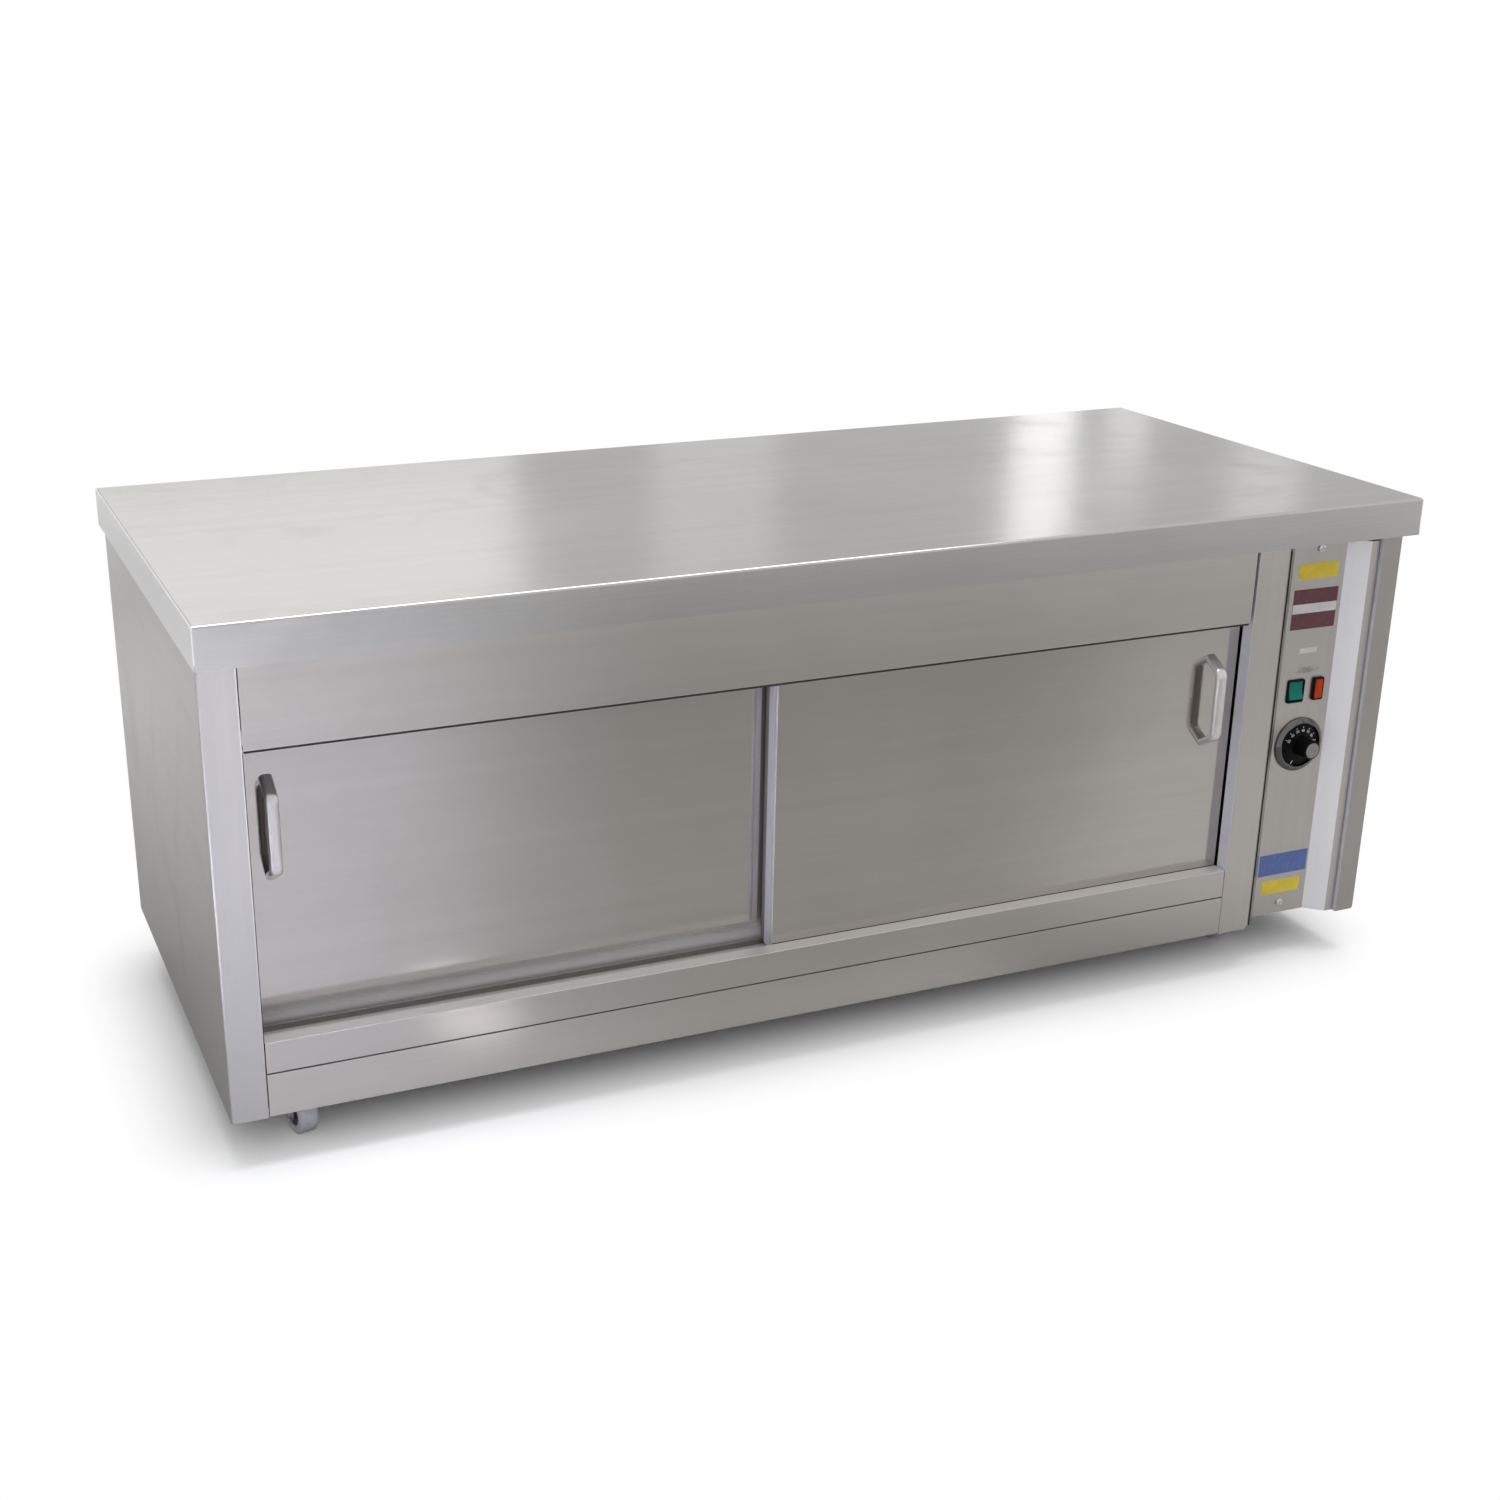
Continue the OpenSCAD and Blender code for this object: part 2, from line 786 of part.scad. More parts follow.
module floor_deck() color(steel) {
    low = [x_in_l + deck_side_gap, y_in + deck_side_gap, sill_h - sheet];
    high = [x_in_r - deck_side_gap, y_liner_back - deck_side_gap, sill_h];
    step = [(high[0] - low[0]) / deck_slot_n[0], (high[1] - low[1]) / deck_slot_n[1]];
    difference() {
        box(low, high);
        for (i = [0:deck_slot_n[0] - 1], j = [0:deck_slot_n[1] - 1])
            translate([low[0] + (i + 1 / 2) * step[0], low[1] + (j + 1 / 2) * step[1], low[2] + sheet / 2])
                cube([deck_slot[0], deck_slot[1], sheet + 2 * overrun], center = true);
    }
}

module insulation() color(wool) {
    g = lay_gap;
    y_end = y_back_in - g;
    z_end = z_top - sheet - g;
    box([x_end_l + sheet + g, y_in + g, z_pan_top + g], [x_open_l - g, y_end, z_end]);
    difference() {
        box([x_open_r + g, y_in + g, z_pan_top + g], [x_part - sheet - g, y_end, z_end]);
        bay_holes(x_open_r, right_stile_w);
    }
    box(
        [x_open_l + g, y_liner_back + sheet + g, z_pan_top + g],
        [x_open_r - g, y_end, z_end]
    );
    box(
        [x_open_l + g, y_track_back + g, z_ceiling + sheet],
        [x_open_r - g, y_liner_back + sheet - g, z_ceiling + sheet + roof_wool]
    );
    difference() {
        box(
            [x_in_l + g, y_in + g, z_pan_top],
            [x_in_r - g, y_liner_back - g, z_pan_top + base_wool]
        );
        for (c = castors, sx = [-1, 1], sy = [-1, 1])
            translate([c[0] + sx * bolt_pitch / 2, c[1] + sy * bolt_pitch / 2, z_pan_top - overrun])
                cylinder(
                    r = bolt_head_r + wool_pocket,
                    h = bolt_nut_h + bolt_past + wool_pocket + overrun
                );
    }
}

module shelf() color(steel) {
    low = [x_in_l + shelf_end_gap, y_in + shelf_front_gap];
    high = [x_in_r - shelf_end_gap, y_liner_back - shelf_back_gap];
    box([low[0], low[1], z_shelf - sheet], [high[0], high[1], z_shelf]);
    for (y = [low[1], high[1] - sheet])
        box([low[0], y, z_shelf - shelf_lip], [high[0], y + sheet, z_shelf]);
}

// Angles on the chamber's ends that the shelf lies on
module shelf_rails() color(zinc) {
    y0 = y_in + shelf_front_gap + sheet + shelf_end_gap;
    y1 = y_liner_back - shelf_back_gap - sheet - shelf_end_gap;
    z = z_shelf - sheet;
    for (side = [[x_in_l, 1], [x_in_r, -1]])
        translate([side[0], 0, 0]) mirror([side[1] < 0 ? 1 : 0, 0, 0]) {
            box([0, y0, z - rail_drop], [sheet, y1, z]);
            box([0, y0, z - sheet], [rail_w, y1, z]);
        }
}

// Bright tray under the element, with three cross walls that hold the element up
module element_tray() color(bright) {
    low = [x_in_l + deck_side_gap, y_in + deck_side_gap];
    high = [x_in_r - deck_side_gap, y_liner_back - deck_side_gap];
    box([low[0], low[1], z_tray], [high[0], high[1], z_tray + sheet]);
    for (s = support_shares) {
        x = x_bend_l + s * (x_bend_r - x_bend_l);
        box(
            [x - support_t / 2, y_element + pass_shares[0] * pass_pitch - support_past, z_tray],
            [
                x + support_t / 2, y_element + pass_shares[3] * pass_pitch + support_past,
                z_element - element_d / 2 - lay_gap / 2
            ]
        );
    }
}

module half_turn() {
    rotate_extrude(angle = 180) translate([pass_pitch / 2, 0]) circle(element_d / 2);
}

module heating_element() color("#6b625c") {
    for (i = [0:3]) {
        x_end = i == 0 || i == 3 ? x_part + cold_end : x_bend_r;
        along_x([x_bend_l, y_element + pass_shares[i] * pass_pitch, z_element], element_d / 2, x_end - x_bend_l);
    }
    for (s = [-1, 1])
        translate([x_bend_l, y_element + s * pass_pitch, z_element]) rotate([0, 0, 90]) half_turn();
    translate([x_bend_r, y_element, z_element]) rotate([0, 0, -90]) half_turn();
}

module screw_holes() {
    for (z = z_screws)
        outward([x_panel_mid, y_panel_back + 2 * sheet, z], screw_r + screw_fit, 3 * sheet + overrun);
}

// Bay front: narrow strips at the sides, splayed sides and a recessed face
module control_panel() color(steel)
    difference() {
        translate([x_panel, 0, z_panel]) linear_extrude(z_panel_top - z_panel) {
            front = [
                [0, y_panel_strip], [panel_strip, y_panel_strip],
                [panel_strip + splay_w, y_panel], [panel_w - panel_strip - splay_w, y_panel],
                [panel_w - panel_strip, y_panel_strip],
                [x_flange - panel_end_gap - x_panel, y_panel_strip]
            ];
            polygon(concat(front, [for (i = [len(front) - 1:-1:0]) front[i] + [0, sheet]]));
        }
        screw_holes();
        outward(
            [x_panel_mid, y_panel_back + overrun, dial_h],
            spindle_r + spindle_hole_gap, sheet + 2 * overrun
        );
        switch_cutout(x_panel_mid - rocker_left, rocker_frame, overrun);
        switch_cutout(x_panel_mid + neon_right, neon_frame, overrun);
    }

// Hole in the panel for a switch body, which is a little smaller than its frame
module switch_cutout(x, frame, past) {
    w = frame[0] / 2 - switch_body_in + cutout_gap;
    h = frame[1] / 2 - switch_body_in + cutout_gap;
    box([x - w, y_panel - past, switch_h - h], [x + w, y_panel_back + past, switch_h + h]);
}

// Frame on the panel's face and body behind it
module switch_body(x, frame, t, depth) {
    w = frame[0] / 2;
    h = frame[1] / 2;
    b = switch_body_in;
    box([x - w, y_panel - t, switch_h - h], [x + w, y_panel, switch_h + h]);
    box([x - w + b, y_panel - t, switch_h - h + b], [x + w - b, y_panel + depth, switch_h + h - b]);
}

module panel_screws() color(bright)
    for (z = z_screws) {
        outward([x_panel_mid, y_panel + screw_len, z], screw_r, screw_len);
        translate([x_panel_mid, y_panel, z]) rotate([90, 0, 0])
            intersection() {
                cylinder(r = screw_head_r, h = screw_head_h);
                translate([0, 0, screw_head_h - screw_head_r]) sphere(screw_head_r);
            }
    }

module thermostat_body() color(nylon)
    difference() {
        box(
            [x_panel_mid - thermo_size[0] / 2, y_panel_back, dial_h - thermo_size[2] / 2],
            [x_panel_mid + thermo_size[0] / 2, y_panel_back + thermo_size[1], dial_h + thermo_size[2] / 2]
        );
        outward(
            [x_panel_mid, y_panel_back + spindle_in + overrun, dial_h],
            spindle_r + run_fit, spindle_in + 2 * overrun
        );
    }

// Bulb on the back of the chamber and the thin tube from it to the thermostat
module thermostat_bulb() color("#b07a4a") {
    y = y_liner_back - bulb_off;
    x_bulb = x_in_r - bulb_end_gap - bulb_len;
    y_thermo = y_panel_back + thermo_size[1];
    along_x([x_bulb, y, dial_h], bulb_r, bulb_len);
    along_x([x_bulb, y, dial_h], capillary_r, x_panel_mid - x_bulb);
    translate([x_panel_mid, y, dial_h]) sphere(capillary_r);
    outward([x_panel_mid, y, dial_h], capillary_r, y - y_thermo);
    for (s = clip_shares)
        box(
            [x_bulb + s * bulb_len - clip_w / 2, y, dial_h - clip_h / 2],
            [x_bulb + s * bulb_len + clip_w / 2, y_liner_back, dial_h + clip_h / 2]
        );
}

module rocker_housing() color(black) {
    x = x_panel_mid - rocker_left;
    y_pivot = y_panel + rocker_pivot_in;
    w = rocker_frame[0] / 2 - rocker_wall;
    h = rocker_frame[1] / 2 - rocker_wall;
    difference() {
        switch_body(x, rocker_frame, frame_t, rocker_body_d);
        box(
            [x - w, y_panel - frame_t - overrun, switch_h - h],
            [x + w, y_panel + rocker_well, switch_h + h]
        );
        along_x(
            [x - w - rocker_pin_out, y_pivot, switch_h],
            rocker_pin_r + run_fit, 2 * w + 2 * rocker_pin_out
        );
    }
}

// Key with two faces that meet in a shallow valley, shown with its upper half pressed in
module rocker_key() color("#12806a") {
    x = x_panel_mid - rocker_left;
    w = rocker_frame[0] - 2 * rocker_wall - 2 * rocker_gap;
    r = rocker_frame[1] / 2 - rocker_wall - rocker_gap;
    rise = r * tan(rocker_angle);
    pin_len = w + 2 * rocker_gap + 2 * rocker_pin_out - rocker_gap;
    translate([x, y_panel + rocker_pivot_in, switch_h]) rotate([-rocker_angle, 0, 0]) {
        sideways(w) intersection() {
            circle(r);
            polygon([
                [-rocker_behind, -r], [-rocker_behind, r],
                [rocker_face + rise, r], [rocker_face, 0], [rocker_face + rise, -r]
            ]);
        }
        along_x([-pin_len / 2, 0, 0], rocker_pin_r, pin_len);
    }
}

module neon_bezel() color(black) {
    x = x_panel_mid + neon_right;
    w = neon_frame[0] / 2 - neon_wall;
    h = neon_frame[1] / 2 - neon_wall;
    difference() {
        switch_body(x, neon_frame, neon_frame_t, neon_body_d);
        box(
            [x - w, y_panel - neon_frame_t - overrun, switch_h - h],
            [x + w, y_panel + neon_lens_in, switch_h + h]
        );
    }
}

module neon_lens() color("#d8571c") {
    x = x_panel_mid + neon_right;
    w = neon_frame[0] / 2 - neon_wall - neon_fit;
    h = neon_frame[1] / 2 - neon_wall - neon_fit;
    box(
        [x - w, y_panel - neon_frame_t - neon_lens_out, switch_h - h],
        [x + w, y_panel + neon_lens_in, switch_h + h]
    );
}

// A turned piece on the dial's axis: its profile gives radius and height over the panel
module on_dial() {
    translate([x_panel_mid, y_panel, dial_h]) rotate([90, 0, 0]) rotate_extrude($fn = 96) children();
}

module dial_bezel() color(bright)
    on_dial() {
        r_in = skirt_r + bezel_in_gap;
        polygon([
            [r_in, 0], [bezel_r, 0], [bezel_r, bezel_h / 3],
            [r_in + bezel_lip, bezel_h], [r_in, bezel_h]
        ]);
    }

module thermostat_knob() color(black)
    on_dial() {
        z_skirt = skirt_up + skirt_h;
        bore_r = spindle_r + run_fit;
        bore_h = spindle_out + lay_gap;
        polygon([
            [bore_r, skirt_up], [skirt_r, skirt_up], [skirt_r, z_skirt],
            [grip_r + grip_draft, z_skirt + skirt_crown], [grip_r, knob_h],
            [cap_r + cap_fit, knob_h], [cap_r + cap_fit, knob_h - cap_sink],
            [0, knob_h - cap_sink], [0, bore_h], [bore_r, bore_h]
        ]);
    }

module knob_cap() color(bright)
    on_dial() translate([0, knob_h - cap_sink]) square([cap_r, cap_t]);

module thermostat_spindle() color(zinc)
    outward([x_panel_mid, y_panel_back + spindle_in, dial_h], spindle_r, spindle_in + sheet + spindle_out);

module terminal_block() color(nylon) {
    low = [
        x_part + terminal_at_shares[0] * bay_w,
        y_front + terminal_at_shares[1] * (y_back - y_front),
        z_pan_top
    ];
    difference() {
        box(low, low + terminal_size);
        for (i = [1:terminal_n])
            translate(low + [i * terminal_size[0] / (terminal_n + 1), terminal_size[1] / 2, terminal_size[2] / 2])
                cylinder(r = terminal_hole_r, h = terminal_size[2]);
    }
}

function gland_x() = x_part + gland_share * bay_w;

// Gland through the back panel, held by a nut inside, with the cable's bore right through
module cable_gland() color(black) {
    p = [gland_x(), y_back - sheet, gland_h];
    y_in_end = y_back_in - gland_in;
    difference() {
        union() {
            outward([p[0], p[1] + gland_head_len, p[2]], gland_head_r, gland_head_len);
            outward(p, gland_thread_r, p[1] - y_in_end);
        }
        outward(
            [p[0], p[1] + gland_head_len + overrun, p[2]], gland_bore_r,
            p[1] + gland_head_len - y_in_end + 2 * overrun
        );
    }
    translate([p[0], y_back_in, p[2]]) rotate([90, 0, 0])
        difference() {
            cylinder(r = gland_nut_r, h = gland_nut_h, $fn = 6);
            translate([0, 0, -overrun])
                cylinder(r = gland_thread_r + run_fit, h = gland_nut_h + 2 * overrun);
        }
}

module plate_holes(c) {
    for (sx = [-1, 1], sy = [-1, 1])
        translate([c[0] + sx * bolt_pitch / 2, c[1] + sy * bolt_pitch / 2, z_pan - plate_t - overrun])
            cylinder(r = bolt_r + screw_fit, h = plate_t + sheet + 2 * overrun);
}

module castor_plates() color(zinc)
    for (c = castors)
        difference() {
            union() {
                box(
                    [c[0] - plate_w / 2, c[1] - plate_w / 2, z_pan - plate_t],
                    [c[0] + plate_w / 2, c[1] + plate_w / 2, z_pan]
                );
                translate([c[0], c[1], z_race]) cylinder(r = race_r, h = race_h);
            }
            translate([c[0], c[1], z_race - overrun])
                cylinder(r = king_r + run_fit, h = race_h + plate_t + 2 * overrun);
            plate_holes(c);
        }

module castor_bolts() color(zinc)
    for (c = castors, sx = [-1, 1], sy = [-1, 1])
        translate([c[0] + sx * bolt_pitch / 2, c[1] + sy * bolt_pitch / 2, z_pan - plate_t]) {
            translate([0, 0, -bolt_head_h]) cylinder(r = bolt_head_r, h = bolt_head_h, $fn = 6);
            cylinder(r = bolt_r, h = plate_t + sheet + bolt_nut_h + bolt_past);
            translate([0, 0, plate_t + sheet]) cylinder(r = bolt_head_r, h = bolt_nut_h, $fn = 6);
        }

// Fork with its kingpin, two legs that reach forward to the axle, and the axle itself
module castor_fork(i) color(zinc)
    translate([castors[i][0], castors[i][1], 0]) rotate([0, 0, castor_turns[i]]) {
        x_leg = wheel_w / 2 + fork_gap;
        translate([0, 0, z_crown]) cylinder(r = crown_r, h = crown_h);
        translate([0, 0, z_crown]) cylinder(r = king_r, h = z_pan - king_short - z_crown);
        box([-x_leg - fork_t, -crown_r, z_crown - fork_t], [x_leg + fork_t, crown_r, z_crown]);
        for (x = [-x_leg - fork_t / 2, x_leg + fork_t / 2])
            translate([x, 0, 0]) {
                sideways(fork_t) {
                    translate([castor_trail, wheel_r]) circle(fork_eye_r);
                    polygon([
                        [-crown_r, z_crown], [crown_r, z_crown],
                        [castor_trail + fork_eye_r, wheel_r], [castor_trail, wheel_r - fork_eye_r],
                        [castor_trail - fork_eye_r, wheel_r]
                    ]);
                }
            }
        axle_len = 2 * (x_leg + fork_t + axle_head_h);
        along_x([-axle_len / 2, -castor_trail, wheel_r], axle_r, axle_len);
        for (x = [-axle_len / 2, axle_len / 2 - axle_head_h])
            along_x([x, -castor_trail, wheel_r], axle_head_r, axle_head_h);
    }

module castor_wheel(i) color(grey_rubber)
    translate([castors[i][0], castors[i][1], wheel_r]) rotate([0, 0, castor_turns[i]])
        translate([0, -castor_trail, 0]) rotate([0, 90, 0]) rotate_extrude($fn = 72) {
            w = wheel_w / 2;
            r_in = axle_r + run_fit;
            difference() {
                union() {
                    translate([r_in, -w]) square([wheel_r - tread_r - r_in, wheel_w]);
                    translate([r_in, -w + tread_r]) square([wheel_r - r_in, wheel_w - 2 * tread_r]);
                    for (s = [-1, 1])
                        translate([wheel_r - tread_r, s * (w - tread_r)]) circle(tread_r);
                }
                for (y = [-w - overrun, w - hub_recess])
                    translate([hub_boss_r, y]) square([hub_r - hub_boss_r, hub_recess + overrun]);
            }
        }

module door_skin(x, y) color(steel)
    difference() {
        box([x, y, z_door], [x + door_w, y + skin_depth, z_door_top]);
        box(
            [x + skin, y + skin, z_door + skin],
            [x + door_w - skin, y + skin_depth + overrun, z_door_top - skin]
        );
    }

module door_pan(x, y) color(steel) {
    e = skin_seam;
    difference() {
        box([x + e, y + skin_depth, z_door + e], [x + door_w - e, y + door_t, z_door_top - e]);
        box(
            [x + e + skin, y + skin_depth - overrun, z_door + e + skin],
            [x + door_w - e - skin, y + door_t - skin, z_door_top - e - skin]
        );
        for (x_hanger = hangers(x))
            box(
                [x_hanger - hanger_w / 2 - lay_gap, y + door_t / 2 - hanger_t / 2 - lay_gap, z_door_top - 2 * skin - e],
                [x_hanger + hanger_w / 2 + lay_gap, y + door_t / 2 + hanger_t / 2 + lay_gap, z_door_top + overrun]
            );
    }
}

module door_core(x, y) color(wool) {
    e = skin_seam + skin + lay_gap;
    box(
        [x + e, y + skin + lay_gap, z_door + e],
        [x + door_w - e, y + door_t - skin - lay_gap, z_door_top - hanger_drop - lay_gap]
    );
}

// Plates that stand up out of a door into its channel, each with the pin of a roller pair
module door_hangers(x, y) color(zinc) {
    y_mid = y + door_t / 2;
    for (x_hanger = hangers(x)) {
        z = z_door_top - hanger_drop;
        box(
            [x_hanger - hanger_w / 2, y_mid - hanger_t / 2, z],
            [x_hanger + hanger_w / 2, y_mid + hanger_t / 2, z_pin + hanger_over]
        );
        box(
            [x_hanger - hanger_w / 2, y_mid - hanger_t / 2, z],
            [x_hanger + hanger_w / 2, y + door_t - skin, z + hanger_foot]
        );
        outward(
            [x_hanger, y_mid + channel_w / 2 - pin_short, z_pin], pin_r,
            channel_w - 2 * pin_short
        );
    }
}

// Two rollers on one pin, on either side of the hanger
module roller_pair(x, y) color(nylon)
    for (s = [-1, 1])
        translate([x, y + s * (channel_w - lip_w) / 2, z_pin]) rotate([90, 0, 0])
            difference() {
                cylinder(r = roller_r, h = roller_w, center = true);
                cylinder(r = pin_r + run_fit, h = roller_w + 2 * overrun, center = true);
            }

// Outline of a bow from the middle of its foot line, which it can pass for a cut
module bow_outline(reach, foot, leg, past)
    polygon([
        [-past, -foot - past * tan(leg)], [reach, reach * tan(leg) - foot],
        [reach, foot - reach * tan(leg)], [-past, foot + past * tan(leg)]
    ]);

// Sector of a bend, from the bar round to the leg
module bend_sector(turn, far)
    polygon([
        [0, 0], far * [cos(turn), sin(turn)], 2 * far * [cos(turn / 2), sin(turn / 2)], [far, 0]
    ]);

// Bow handle with splayed legs, drawn as outward and up from the middle of its place on the door
module bow_handle(x, y, z) color(bright) {
    t = handle_bar_t;
    r = handle_bend_r;
    out = handle_reach - t / 2;
    leg = atan2(handle_run, out);
    turn = leg - 90;
    v_bend = handle_len / 2 - t / 2 / cos(leg) - handle_run + r * tan(turn / 2);
    far = 2 * (r + t);
    translate([x, y, z]) sideways(handle_bar_w)
        union() {
            difference() {
                bow_outline(handle_reach, handle_len / 2, leg, 0);
                bow_outline(handle_reach - t, handle_len / 2 - t / cos(leg), leg, overrun);
                for (flip = [0, 1])
                    mirror([0, flip]) translate([out - r, -v_bend])
                        difference() {
                            bend_sector(turn, far);
                            circle(r + t / 2);
                        }
            }
            for (flip = [0, 1])
                mirror([0, flip]) translate([out - r, -v_bend])
                    difference() {
                        intersection() {
                            circle(r);
                            bend_sector(turn, far);
                        }
                        circle(r - t / 2);
                    }
        }
}

module left_door_skin() door_skin(x_left_door, y_left_door);
module left_door_pan() door_pan(x_left_door, y_left_door);
module left_door_core() door_core(x_left_door, y_left_door);
module left_handle() bow_handle(x_left_door + left_handle_inset, y_left_door, left_handle_h);
module left_hangers() door_hangers(x_left_door, y_left_door);
module left_rollers_outer() roller_pair(hangers(x_left_door)[0], y_left_track);
module left_rollers_inner() roller_pair(hangers(x_left_door)[1], y_left_track);
module right_door_skin() door_skin(x_right_door, y_right_door);
module right_door_pan() door_pan(x_right_door, y_right_door);
module right_door_core() door_core(x_right_door, y_right_door);
module right_handle()
    bow_handle(x_right_door + door_w - right_handle_inset, y_right_door, right_handle_h);
module right_hangers() door_hangers(x_right_door, y_right_door);
module right_rollers_outer() roller_pair(hangers(x_right_door)[1], y_right_track);
module right_rollers_inner() roller_pair(hangers(x_right_door)[0], y_right_track);

worktop();
worktop_stiffeners();
left_side_panel();
right_end_panel();
bay_partition();
bay_header();
back_panel();
base_pan();
front_fascia();
sill_channel();
plinth_strip();
top_track();
track_stops();
liner_ends();
liner_back();
liner_ceiling();
floor_deck();
insulation();
shelf();
shelf_rails();
element_tray();
heating_element();
control_panel();
panel_screws();
thermostat_body();
thermostat_bulb();
rocker_housing();
neon_bezel();
neon_lens();
dial_bezel();
terminal_block();
cable_gland();
castor_plates();
castor_bolts();
left_door_skin();
left_door_pan();
left_door_core();
left_handle();
left_hangers();
left_rollers_outer();
left_rollers_inner();
right_door_skin();
right_door_pan();
right_door_core();
right_handle();
right_hangers();
right_rollers_outer();
right_rollers_inner();
thermostat_knob();
knob_cap();
thermostat_spindle();
rocker_key();
castor_fork(0);  // castor_fork_fl
castor_fork(1);  // castor_fork_fr
castor_fork(2);  // castor_fork_bl
castor_fork(3);  // castor_fork_br
castor_wheel(0);  // castor_wheel_fl
castor_wheel(1);  // castor_wheel_fr
castor_wheel(2);  // castor_wheel_bl
castor_wheel(3);  // castor_wheel_br
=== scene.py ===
"""Looks of the hot cupboard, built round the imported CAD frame. Metres, same frame as the CAD."""
import json
import math

import bmesh
import bpy
from mathutils import Matrix, Quaternion, Vector


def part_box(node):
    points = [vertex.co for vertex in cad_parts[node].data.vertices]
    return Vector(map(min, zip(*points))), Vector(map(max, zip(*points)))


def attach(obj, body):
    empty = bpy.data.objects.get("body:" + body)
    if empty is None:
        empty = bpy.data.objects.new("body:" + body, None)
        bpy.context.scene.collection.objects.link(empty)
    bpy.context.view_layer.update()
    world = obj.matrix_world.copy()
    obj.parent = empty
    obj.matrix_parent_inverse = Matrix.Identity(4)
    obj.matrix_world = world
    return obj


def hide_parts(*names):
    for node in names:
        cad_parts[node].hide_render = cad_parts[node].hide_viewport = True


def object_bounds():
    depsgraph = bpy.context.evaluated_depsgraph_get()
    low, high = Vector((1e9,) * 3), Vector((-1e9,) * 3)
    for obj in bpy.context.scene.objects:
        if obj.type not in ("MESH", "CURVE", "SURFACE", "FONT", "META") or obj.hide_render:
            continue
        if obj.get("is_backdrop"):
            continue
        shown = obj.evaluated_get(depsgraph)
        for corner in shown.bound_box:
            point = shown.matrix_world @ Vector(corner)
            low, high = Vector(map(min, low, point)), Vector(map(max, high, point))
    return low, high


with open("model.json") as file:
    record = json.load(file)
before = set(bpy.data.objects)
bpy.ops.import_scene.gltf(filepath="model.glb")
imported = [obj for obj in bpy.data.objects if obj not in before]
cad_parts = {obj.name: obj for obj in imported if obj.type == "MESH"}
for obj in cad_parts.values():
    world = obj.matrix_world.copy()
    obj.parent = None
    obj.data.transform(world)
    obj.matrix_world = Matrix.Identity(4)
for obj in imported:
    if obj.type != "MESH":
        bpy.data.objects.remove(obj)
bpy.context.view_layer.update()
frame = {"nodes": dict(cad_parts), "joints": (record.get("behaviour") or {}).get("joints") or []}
NODES = frame["nodes"]
JOINTS = {j["name"]: j for j in frame["joints"]}
SCENE = bpy.context.scene
MM = 0.001

# ---------------------------------------------------------------- camera
CAM_EYE = (-1.04912, -2.22839, 1.18043)
CAM_RIGHT = Vector((0.922635, -0.385635, 0.005511))
CAM_DOWN = Vector((-0.133102, -0.331795, -0.933914))
CAM_FORWARD = Vector((0.361978, 0.860928, -0.357455))


def make_camera():
    data = bpy.data.cameras.new("camera")
    data.lens, data.sensor_width, data.sensor_fit = 48.798, 36.0, "HORIZONTAL"
    data.shift_x, data.shift_y = 0.051967, 0.021517
    data.clip_start, data.clip_end = 0.05, 100.0
    cam = bpy.data.objects.new("camera", data)
    SCENE.collection.objects.link(cam)
    turn = Matrix((CAM_RIGHT, -CAM_DOWN, -CAM_FORWARD)).transposed()
    cam.matrix_world = Matrix.Translation(CAM_EYE) @ turn.to_4x4()
    SCENE.camera = cam


make_camera()


